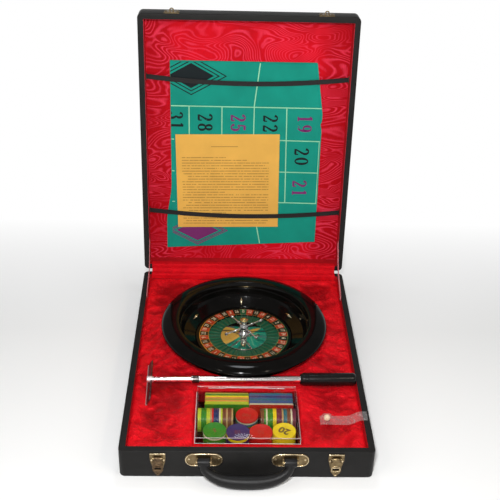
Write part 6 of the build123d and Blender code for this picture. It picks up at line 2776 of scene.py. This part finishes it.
# -------------------------------------------------------------------------------------- rake
@dataclass
class Rake:
    """Croupier's rake: ribbed grip, tube with its collar, rod and leaning blade."""

    blade: Point = (-149.5 * MM, -81.5 * MM, 54.1 * MM)
    turn: float = 1.87
    pitch: float = 0.89
    length: float = 319
    grip_length: float = 86
    grip_radius: float = 9.8
    tube_radius: float = 5.0
    rod_radius: float = 4.1
    tube_start: float = 66
    collar: float = 14
    blade_length: float = 92
    blade_height: float = 15
    lean: float = 25.0
    foot: Point = (-0.7, 0.0, -11.5)
    bead: float = 1.4

    def place(self) -> Matrix:
        """Turns Z along the rake, from the blade's middle."""
        return Matrix.Translation(self.blade) @ self.lie() @ Matrix.Rotation(math.pi / 2, 4, "Y")

    def lie(self) -> Matrix:
        """How the rake is turned in plan and dips towards its grip."""
        turn = Matrix.Rotation(math.radians(self.turn), 4, "Z")
        return turn @ Matrix.Rotation(math.radians(self.pitch), 4, "Y")

    def turned(self, name: str, corners: Sequence[tuple[float, float, float]], steps: int = 40) -> Piece:
        """A piece turned about the rake's own line, from its radii and distances."""
        piece = Bench.turned(name, [(r * MM, z * MM) for r, z in rounded(corners, 4)], steps=steps)
        piece.data.transform(self.place())
        return piece

    def build(self) -> None:
        """Makes the four pieces."""
        chrome = Metal((0.94, 0.86, 0.85), (0.74, 0.66, 0.65), 0.13, 0.15).material("rake_chrome")
        start, end = self.length - self.grip_length, self.length
        bore, full = self.tube_radius + 0.02, self.grip_radius
        corners: list[tuple[float, float, float]] = [
            (bore, start, 0),
            (full - 2.4, start, 0.5),
            (full - 0.7, start + 3, 1.5),
        ]
        for groove in range(3):
            z = start + 6 + groove * 2.4
            corners += [(full, z, 0.2), (full, z + 1.5, 0.2)]
            corners += [(full - 0.6, z + 1.8, 0.2), (full - 0.6, z + 2.1, 0.2)]
        corners += [(full, start + 13.6, 0.2), (full, end - 3, 3.2), (full - 2.0, end, 1.5), (0, end, 0)]
        corners += [(0, end - 21.25, 0), (bore, end - 21.25, 0)]
        grip = self.turned("rake_grip_turning", corners)
        finish = Plastic((0.006, 0.0058, 0.0058), 0.20, mottle=0.2, level=0.3).material("rake_grip_black")
        mount(Bench.smooth(dress(grip, finish), 40), "rake", "grip_plastic", "rake_grip")
        tube_end, inner, outer = end - 21.3, self.rod_radius + 0.1, self.tube_radius
        ring = outer + 0.7
        corners = [
            (inner, self.tube_start, 0),
            (ring - 0.2, self.tube_start, 0.2),
            (ring, self.tube_start + 0.8, 0.3),
            (ring, self.tube_start + self.collar - 0.8, 0.3),
            (outer, self.tube_start + self.collar, 0.2),
            (outer, tube_end, 0),
            (0, tube_end, 0),
            (0, tube_end - 4, 0),
            (inner, tube_end - 4, 0),
        ]
        tube = self.turned("rake_tube_turning", corners)
        mount(Bench.smooth(dress(tube, chrome), 40), "rake", "chromed_steel", "rake_tube")
        first, last = self.tube_start + 1.2, self.tube_start + self.collar - 2.2
        collar = [
            (ring - 0.05, first, 0),
            (ring + 0.12, first + 0.1, 0.1),
            (ring + 0.12, last, 0.1),
            (ring - 0.05, last + 0.1, 0),
        ]
        dark = Metal((0.10, 0.09, 0.085), (0.04, 0.035, 0.03), 0.25, 0.4).material("collar_dark")
        mount(dress(self.turned("rake_collar_band", collar), dark), "rake", "chromed_steel")
        radius = self.rod_radius
        rod = self.turned("rake_rod_turning", [(0, 0, 0), (radius, 0, 0), (radius, 175, 0.6), (0, 175, 0)])
        mount(Bench.smooth(dress(rod, chrome), 40), "rake_head", "chromed_steel", "rake_rod")
        self.head()

    def head(self) -> None:
        """Blade of sheet steel with rounded corners, rolled along its foot, and its socket."""
        half, high, thick = self.blade_length / 2 * MM, self.blade_height * MM, 0.8 * MM
        blade = Bench.block("blade", (-thick, -half, 0), (thick, half, high))
        Bench.bevel(blade, 5 * MM, 6, lambda m, w: abs(w.x) > 0.9 and m.z > high * 0.4)
        Bench.bevel(blade, 0.3 * MM, 2, lambda m, w: abs(w.x) < 0.1)
        foot = Bench.rod("foot", (0, -half - 0.2 * MM, 0), (0, half + 0.2 * MM, 0), self.bead * MM, 20)
        Bench.bevel(foot, 0.5 * MM, 3)
        lean = Matrix.Rotation(math.radians(self.lean), 4, "Y")
        low = Matrix.Translation([part * MM for part in self.foot])
        for piece in (blade, foot):
            piece.data.transform(Matrix.Translation(self.blade) @ self.lie() @ low @ lean)
        # Painted shade: the chromed blade's faces get a dark metal for the shade seen on them; its foot bead
        # and socket stay pale.
        dull = Metal((0.16, 0.13, 0.13), (0.05, 0.04, 0.04), 0.22, 0.5).material("blade_face_painted_shade")
        corners = [(0, -1.6, 0), (5.0, -1.6, 1.2), (5.0, 5, 0.5), (4.2, 9, 0.5), (0, 9, 0)]
        socket = self.turned("socket", corners)
        pale = Metal((0.95, 0.86, 0.86), (0.80, 0.70, 0.70), 0.42, 0.1).material("blade_edge")
        head = dress(Bench.join("rake_blade_head", [foot, socket]), pale)
        mount(Bench.smooth(head, 35), "rake_head", "chromed_steel", "rake_blade")
        mount(Bench.smooth(dress(blade, dull), 35), "rake_head", "chromed_steel")


# -------------------------------------------------------------------------------------- chip box
@dataclass(frozen=True)
class Dye:
    """One colour of the counters."""

    name: str
    colour: Colour


GREEN = Dye("green", (0.038, 0.205, 0.015))
LIME = Dye("lime", (0.46, 0.52, 0.030))
YELLOW = Dye("yellow", (0.76, 0.54, 0.014))
RED = Dye("red", (0.52, 0.012, 0.008))
VIOLET = Dye("violet", (0.046, 0.022, 0.105))
NAVY = Dye("navy", (0.024, 0.032, 0.105))
CREAM = Dye("cream", (0.66, 0.56, 0.38))
TAN = Dye("tan", (0.44, 0.26, 0.10))
BROWN = Dye("brown", (0.18, 0.060, 0.024))
MAROON = Dye("maroon", (0.145, 0.020, 0.042))
TEAL = Dye("teal", (0.025, 0.12, 0.145))
BLUE = Dye("blue", (0.050, 0.085, 0.21))
ORANGE = Dye("orange", (0.66, 0.25, 0.045))
OLIVE = Dye("olive", (0.30, 0.27, 0.035))


@dataclass
class ChipBox:
    """Clear hinged box with round counters and plaques."""

    left: float = -73.7
    front: float = -204.7
    width: float = 149.0
    depth: float = 112.0
    bottom: float = 10.9
    wall: float = 2.0
    divider: float = 1.4
    row: float = 37.0
    middle_row: float = 36.6
    cell: float = 36.6
    chip: float = 33.4
    edge_chip: float = 35.2
    front_left: float = -46.4
    plaque_height: float = 31.0
    plaque_gap: float = 4.6  # from the rear wall to the first plaque
    pitch: float = 2.6
    clear: Clear = Clear()

    def build(self) -> None:
        """Makes the box and what lies in it."""
        clear = self.clear.material("clear_box_plastic")
        edge = BrightEdge().material("clear_box_edge_painted_highlight")
        tray = softened("chip_tray", "chip_tray_moulding", 0.35 * MM, clear, "chip_box", "clear_plastic")
        lid = softened(
            "chip_box_lid", "chip_lid_moulding", 0.35 * MM, clear, "chip_box_lid_body", "clear_plastic"
        )
        inner_x, inner_y = self.width / 2 - self.wall - 0.2, self.depth / 2 - self.wall - 0.2
        middle = Vector((self.left + self.width / 2, self.front + self.depth / 2))

        def on_rim(face: bpy.types.MeshPolygon) -> bool:
            """Whether a face lies on the tray's outer rim."""
            off_x, off_y = abs(face.center.x / MM - middle.x), abs(face.center.y / MM - middle.y)
            return face.center.z > 48.6 * MM and (off_x > inner_x or off_y > inner_y)

        self.brighten(tray, edge, on_rim)
        heights = [corner.co.z for corner in lid.data.vertices]
        lines = (min(heights) + 0.2 * MM, max(heights) - 0.2 * MM)
        lid_edge_highlight = BrightEdge(lines=lines).material("clear_lid_edge_painted_highlight")
        self.brighten(lid, lid_edge_highlight, lambda face: abs(face.normal.z) < 0.9)
        self.skirt(clear, edge)
        self.dyes = {}
        self.counters()
        self.plaques()

    def skirt(self, clear: Material, edge: Material) -> None:
        """Rim of the lid that reaches down over the front and the sides."""
        play, thick, low, high = 0.3, 1.0, 41.0, 49.75
        x0, x1 = self.left - play, self.left + self.width + play
        y0, y1 = self.front - play, self.front + self.depth - 3
        spans = {
            "front": (x0 - thick, y0 - thick, x1 + thick, y0),
            "left": (x0 - thick, y0, x0, y1),
            "right": (x1, y0, x1 + thick, y1),
        }
        walls = [
            Bench.block(side, (a * MM, b * MM, low * MM), (c * MM, d * MM, high * MM))
            for side, (a, b, c, d) in spans.items()
        ]
        rim = Bench.bevel(Bench.join("chip_lid_rim", walls), 0.2 * MM, 2)
        Bench.smooth(dress(rim, clear), 32)
        self.brighten(rim, edge, lambda face: face.normal.z < -0.5)
        mount(rim, "chip_box_lid_body", "clear_plastic")

    @staticmethod
    def brighten(piece: Piece, edge: Material, test: Callable[[bpy.types.MeshPolygon], bool]) -> None:
        """Gives the faces that pass a test the painted highlight of an edge."""
        piece.data.materials.append(edge)
        for face in piece.data.polygons:
            if test(face):
                face.material_index = 1

    def dyed(self, dye: Dye) -> Material:
        """The material of one dye, mixed once."""
        if dye.name not in self.dyes:
            finish = Plastic(dye.colour, 0.30, mottle=0.08, level=0.24)
            self.dyes[dye.name] = finish.material(f"counter_{dye.name}")
        return self.dyes[dye.name]

    def round_counter(self) -> Piece:
        """One counter about the origin, with a fine raised edge."""
        r, t = self.chip / 2, self.pitch - 0.1
        corners = [
            (0, 0.12, 0),
            (r - 2.4, 0.12, 0),
            (r - 2.0, 0, 0.1),
            (r, 0, 0.35),
            (r, t, 0.35),
            (r - 2.0, t, 0.1),
            (r - 2.4, t - 0.12, 0),
            (0, t - 0.12, 0),
        ]
        return Bench.turned("counter", [(a * MM, b * MM) for a, b in rounded(corners, 2)], steps=40)

    def counters(self) -> None:
        """Flat stacks in front and in the middle, and two rows standing on edge."""
        model = self.round_counter()
        seat = self.bottom + self.wall + 0.1
        middle_x = self.left + self.width / 2
        front_y = self.front + self.wall + self.row / 2
        middle_y = self.front + self.wall + self.row + self.divider + self.middle_row / 2
        pieces: list[Piece] = []

        def put(dye: Dye, place: Matrix) -> None:
            """Sets one flat counter down."""
            counter = Bench.twin(model, f"counter_{len(pieces)}", place)
            pieces.append(dress(counter, self.dyed(dye)))

        stacks = (
            (0, 13, GREEN, CREAM, 1),
            (1, 12, VIOLET, YELLOW, 2),
            (2, 12, RED, RED, 0),
            (3, 13, YELLOW, CREAM, 0),
        )
        for column, count, top, second, few in stacks:
            x = self.front_left + column * self.chip
            for index in range(count):
                dye = top if index >= count - 1 or index < count - 1 - few else second
                slip = 0.12 * math.sin(index * 2.3 + column)
                z = seat + index * self.pitch
                put(dye, Matrix.Translation(((x + slip) * MM, (front_y + slip) * MM, z * MM)))
        for index in range(11):
            dye = RED if index == 10 else (CREAM if index == 9 else (RED, GREEN, BLUE)[index % 3])
            put(dye, Matrix.Translation((middle_x * MM, middle_y * MM, (seat + index * self.pitch) * MM)))
        left_row = (LIME, LIME, GREEN, GREEN, GREEN, LIME, LIME, TAN, RED, NAVY, NAVY, NAVY, CREAM)
        left_row += (LIME, BROWN, BROWN, TAN, BROWN, BROWN, TAN)
        right_row = (BROWN, BROWN, GREEN, CREAM, GREEN, GREEN, GREEN, YELLOW, YELLOW, MAROON, MAROON)
        right_row += (MAROON, TAN, TEAL, TEAL, BROWN, BROWN, CREAM, MAROON, MAROON)
        radius = self.edge_chip / 2
        wider = self.edge_chip / self.chip
        tall = Bench.twin(model, "tall_counter", Matrix.Diagonal((wider, wider, 1, 1)))
        starts = (self.left + self.wall, middle_x + self.cell / 2 + self.divider)
        upright = Matrix.Rotation(math.pi / 2, 4, "Y")
        for start, row in zip(starts, (left_row, right_row)):
            for index, dye in enumerate(row):
                x = start + 0.1 + index * self.pitch
                place = Matrix.Translation((x * MM, (middle_y + 0.5) * MM, (seat + radius) * MM)) @ upright
                pieces.append(dress(Bench.twin(tall, f"counter_{len(pieces)}", place), self.dyed(dye)))
        bpy.data.objects.remove(tall)
        bpy.data.objects.remove(model)
        stack = Bench.join("round_counters", pieces)
        Bench.smooth(stack, 35)
        mount(stack, "chip_box", "chip_plastic", "round_chips")
        tops = (
            ("5", self.front_left, front_y, 13, 200.0, (0.22, 0.05, 0.02)),
            ("10", self.front_left + self.chip, front_y, 12, 190.0, (0.16, 0.02, 0.04)),
            ("50", self.front_left + 2 * self.chip, front_y, 12, 175.0, (0.36, 0.02, 0.01)),
            ("20", self.front_left + 3 * self.chip, front_y, 13, 150.0, (0.15, 0.09, 0.02)),
            ("100", middle_x, middle_y, 11, 170.0, (0.36, 0.03, 0.01)),
        )
        figures = []
        for text, x, y, count, turn, colour in tops:
            z = seat + count * self.pitch - 0.1 - 0.12 + 0.04
            place = Matrix.Translation((x * MM, y * MM, z * MM)) @ Matrix.Rotation(math.radians(turn), 4, "Z")
            high, fat = (16, 0.045) if text == "20" else (9.5, 0.02)
            figure = Bench.written(f"figure_{text}", text, high * MM, place, 0.03 * MM, fat)
            figures.append(dress(figure, Plastic(colour, 0.35, mottle=0.1).material(f"figure_{text}")))
        mount(Bench.join("counter_figures", figures), "chip_box", "chip_plastic")

    def plaques(self) -> None:
        """Two stacks of plaques on edge, in bands of colour."""
        middle_x = self.left + self.width / 2 + 3.4
        rear = self.front + self.depth - self.wall
        seat = self.bottom + self.wall + 0.1
        rows = {
            -1: (OLIVE, GREEN, YELLOW, ORANGE, OLIVE, ORANGE, LIME, LIME),
            1: (TEAL, BLUE, VIOLET, BLUE, TEAL, BLUE, BLUE, CREAM),
        }
        fronts = {-1: GREEN, 1: RED}
        model = Bench.block("plaque", (-33 * MM, 0, 0), (33 * MM, 3.2 * MM, self.plaque_height * MM))
        Bench.bevel(model, 2.0 * MM, 4, lambda m, w: abs(w.y) > 0.9)
        Bench.bevel(model, 0.35 * MM, 2, lambda m, w: abs(w.y) < 0.1)
        pieces = []
        for side, row in rows.items():
            for index, dye in enumerate(row):
                y = rear - self.plaque_gap - index * 3.3 - 3.2
                x = middle_x + side * 33.1 + 0.25 * math.sin(index * 1.9 + side)
                drop = 0.5 if index == 7 else 0.0
                place = Matrix.Translation((x * MM, y * MM, (seat - drop * 0.2) * MM))
                plaque = Bench.twin(model, f"plaque_{side}_{index}", place)
                dress(plaque, self.dyed(dye), self.dyed(fronts[side]))
                for face in plaque.data.polygons:
                    if index == 7 and face.center.z < (seat + self.plaque_height - 1.4) * MM:
                        face.material_index = 1
                pieces.append(plaque)
        bpy.data.objects.remove(model)
        stack = Bench.join("plaque_stacks", pieces)
        mount(Bench.smooth(stack, 35), "chip_box", "plaque_plastic", "plaques")


# -------------------------------------------------------------------------------------- ball and bag
@dataclass
class BallBag:
    """Cream ball in a flat crinkled bag whose end lies on the rim."""

    ball: Point = (118 * MM, -155 * MM, 45.6 * MM)
    radius: float = 5 * MM
    width: float = 19 * MM
    start: float = 108 * MM
    flat: float = 152 * MM
    rim: float = 170.4 * MM
    end: float = 176.9 * MM
    low: float = 40.36 * MM
    rim_level: float = 49.25 * MM

    def build(self) -> None:
        """Makes the ball and its bag."""
        ball = Bench.ball("ivory_ball", self.ball, self.radius, 32)
        dress(ball, Plastic((0.80, 0.62, 0.40), 0.22, mottle=0.06).material("ivory"))
        mount(ball, "ball_bag_body", "ball_plastic", "roulette_ball")
        bag = self.bag()
        Bench.smooth(dress(bag, Film().material("clear_film")), 70)
        mount(bag, "ball_bag_body", "clear_film", "ball_bag")

    def level(self, x: float) -> float:
        """Height of the bag's underside."""
        climb = smooth_step(x, self.flat - 4 * MM, self.rim - 1.5 * MM)
        return self.low + (self.rim_level - self.low) * climb

    def thickness(self, x: float) -> float:
        """How high the bag stands at its middle line."""
        dome = math.exp(-(((x - self.ball[0]) / (8.2 * MM)) ** 4))
        return 0.5 * MM + (2 * self.radius + 0.35 * MM) * dome

    def bag(self) -> Piece:
        """A flattened tube of film, welded at both ends."""
        Bench.clear()
        bpy.ops.mesh.primitive_grid_add(x_subdivisions=84, y_subdivisions=44, size=1, location=(0.5, 0.5, 0))
        bag = Bench.named("film_bag")

        def laid(co: Vector) -> Vector:
            """A corner of the film."""
            x = self.start + co.x * (self.end - self.start)
            angle = co.y * math.tau
            half = self.width / 2 * (1 - 0.06 * math.exp(-(((x - self.ball[0]) / (12 * MM)) ** 2)))
            side = math.cos(angle)
            side = math.copysign(abs(side) ** 0.8, side)
            closing = min(1.0, co.x / 0.04, (1 - co.x) / 0.02)
            high = self.thickness(x) * closing
            bulge = max(0.0, math.sin(angle))
            around = (1 - abs(side) ** 3) if high > 2 * MM else bulge**0.4
            wrinkle = 0.35 * MM * noise.noise(Vector((x * 260, side * 2.2, 3.0)))
            crinkle = wrinkle * smooth_step(x, 128 * MM, 140 * MM)
            level = self.level(x)
            z = level + (high * around if math.sin(angle) > 0 else 0.0)
            z += max(0.0, crinkle) * (1 if math.sin(angle) > 0 else 0.6)
            return Vector((x, self.ball[1] + half * side, z))

        Bench.shaped(bag, laid)
        return Bench.tidy(bag, 0.00002)


# -------------------------------------------------------------------------------------- studio
@dataclass(frozen=True)
class SoftLamp:
    """An area lamp: its place, what it points at, its size and its strength."""

    name: str
    place: Point
    target: Point
    size: float
    power: float
    colour: Colour = (1.0, 1.0, 1.0)
    mirrored: bool = False  # whether polished pieces mirror it


@dataclass
class Studio:
    """Pale sweep, soft lamps and the camera."""

    eye: Point = (-0.03648, -1.15184, 0.94180)
    pitch: float = 31.44
    yaw: float = 1.95
    roll: float = 1.76
    lens: float = 64.896
    floor: StageWhite = StageWhite()
    floor_size: float = 9.0
    lamps: tuple[SoftLamp, ...] = (
        SoftLamp("front_lamp", (-0.085, -1.00, 1.02), (0.0, 0.0, 0.06), 0.12, 7.7, mirrored=True),
        SoftLamp("flash_spark", (-0.075, -1.04, 1.06), (0.0, 0.0, 0.06), 0.07, 3.6, (0.94, 0.97, 1.0), True),
        SoftLamp("front_card", (-0.06, -1.28, 1.00), (0.0, 0.0, 0.08), 0.55, 3.4, mirrored=True),
        SoftLamp("top_card", (0.0, 0.33, 1.22), (0.0, -0.08, 0.07), 0.23, 1.7, (0.90, 0.95, 1.0), True),
        SoftLamp("left_fill", (-1.4, -0.7, 1.2), (0.0, 0.0, 0.1), 1.0, 3.4),
        SoftLamp("right_fill", (1.4, -0.6, 1.3), (0.0, 0.0, 0.1), 1.0, 3.4),
        SoftLamp("left_spark", (-0.60, -0.80, 1.20), (0.0, 0.0, 0.1), 0.08, 0.9, (1.0, 0.93, 0.82), True),
        SoftLamp("right_spark", (0.56, -0.78, 1.15), (0.0, 0.0, 0.1), 0.08, 1.6, (1.0, 0.88, 0.72), True),
    )
    world: Colour = (1.0, 1.0, 1.0)
    world_strength: float = 0.25

    def build(self) -> None:
        """Sets the stage."""
        self.sweep()
        self.sky()
        for lamp in self.lamps:
            self.hang(lamp)
        self.camera()

    def sweep(self) -> None:
        """Flat floor that runs out of sight on every side."""
        Bench.clear()
        bpy.ops.mesh.primitive_plane_add(size=self.floor_size, location=(0, 0, 0))
        floor = Bench.named("pale_floor_sheet")
        dress(floor, self.floor.material("pale_floor"))

    def sky(self) -> None:
        """Even soft light from all round, white where it is seen."""
        world = bpy.data.worlds.new("soft_room")
        bpy.context.scene.world = world
        world.use_nodes = True
        tree = world.node_tree
        tree.nodes.clear()
        path = tree.nodes.new("ShaderNodeLightPath")
        soft = tree.nodes.new("ShaderNodeBackground")
        soft.inputs["Color"].default_value = (*self.world, 1.0)
        soft.inputs["Strength"].default_value = self.world_strength
        seen = tree.nodes.new("ShaderNodeBackground")
        seen.inputs["Color"].default_value = (1.0, 1.0, 1.0, 1.0)
        seen.inputs["Strength"].default_value = 1.0
        mixer = tree.nodes.new("ShaderNodeMixShader")
        output = tree.nodes.new("ShaderNodeOutputWorld")
        seen_by = path.outputs["Is Camera Ray"]
        horizon = self.near_horizon(tree)
        for other in ("Is Glossy Ray", "Is Transmission Ray"):
            low = self.number(tree, "MULTIPLY", path.outputs[other], horizon)
            seen_by = self.number(tree, "MAXIMUM", seen_by, low)
        tree.links.new(seen_by, mixer.inputs[0])
        tree.links.new(soft.outputs[0], mixer.inputs[1])
        tree.links.new(seen.outputs[0], mixer.inputs[2])
        tree.links.new(mixer.outputs[0], output.inputs["Surface"])

    @staticmethod
    def number(tree: bpy.types.NodeTree, operation: str, a: Socket, b: object) -> Socket:
        """One step of arithmetic in the sky."""
        node = tree.nodes.new("ShaderNodeMath")
        node.operation = operation
        node.use_clamp = True
        for socket, value in zip(node.inputs, (a, b)):
            if isinstance(value, bpy.types.NodeSocket):
                tree.links.new(value, socket)
            else:
                socket.default_value = value
        return node.outputs[0]

    def near_horizon(self, tree: bpy.types.NodeTree) -> Socket:
        """1 towards the white surroundings, 0 towards the dimmer ceiling."""
        place = tree.nodes.new("ShaderNodeTexCoord")
        split = tree.nodes.new("ShaderNodeSeparateXYZ")
        tree.links.new(place.outputs["Generated"], split.inputs[0])
        return self.number(tree, "SUBTRACT", 1.0, self.number(tree, "MULTIPLY", split.outputs[2], 3.6))

    def hang(self, lamp: SoftLamp) -> None:
        """Hangs one lamp."""
        Bench.clear()
        bpy.ops.object.light_add(type="AREA", location=lamp.place)
        light = bpy.context.view_layer.objects.active
        light.name = lamp.name
        light.data.shape = "DISK"
        light.data.size = lamp.size
        light.data.energy = lamp.power
        light.data.color = lamp.colour
        light.visible_glossy = lamp.mirrored
        light.rotation_euler = (Vector(lamp.target) - Vector(lamp.place)).to_track_quat("-Z", "Y").to_euler()

    def camera(self) -> None:
        """Camera at the viewing place, its matrix from pitch, yaw and roll."""
        p, w, r = math.radians(self.pitch), math.radians(self.yaw), math.radians(self.roll)
        forward = Vector((math.sin(w) * math.cos(p), math.cos(w) * math.cos(p), -math.sin(p)))
        right = Vector((math.cos(w), -math.sin(w), 0))
        up = right.cross(forward)
        across = right * math.cos(r) + up * math.sin(r)
        above = up * math.cos(r) - right * math.sin(r)
        Bench.clear()
        bpy.ops.object.camera_add(location=self.eye)
        camera = bpy.context.view_layer.objects.active
        camera.name = "view_camera"
        columns = Matrix((across, above, -forward)).transposed().to_4x4()
        camera.matrix_world = Matrix.Translation(self.eye) @ columns
        camera.data.lens = self.lens
        camera.data.sensor_width = 36.0
        camera.data.clip_start, camera.data.clip_end = 0.01, 30
        bpy.context.scene.camera = camera
        bpy.context.scene.view_settings.view_transform = "Standard"


def main() -> None:
    """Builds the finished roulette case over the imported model."""
    logging.basicConfig(level=logging.INFO, format="%(message)s")
    FRAME.update(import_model())
    Studio().build()
    Case().build()
    PaddedInsert().build()
    LidContents().build()
    FrontHardware().build()
    Handle().build()
    Bowl().build()
    Rotor().build()
    Rake().build()
    ChipBox().build()
    BallBag().build()
    Bench.clear()


if __name__ == "__main__":
    main()
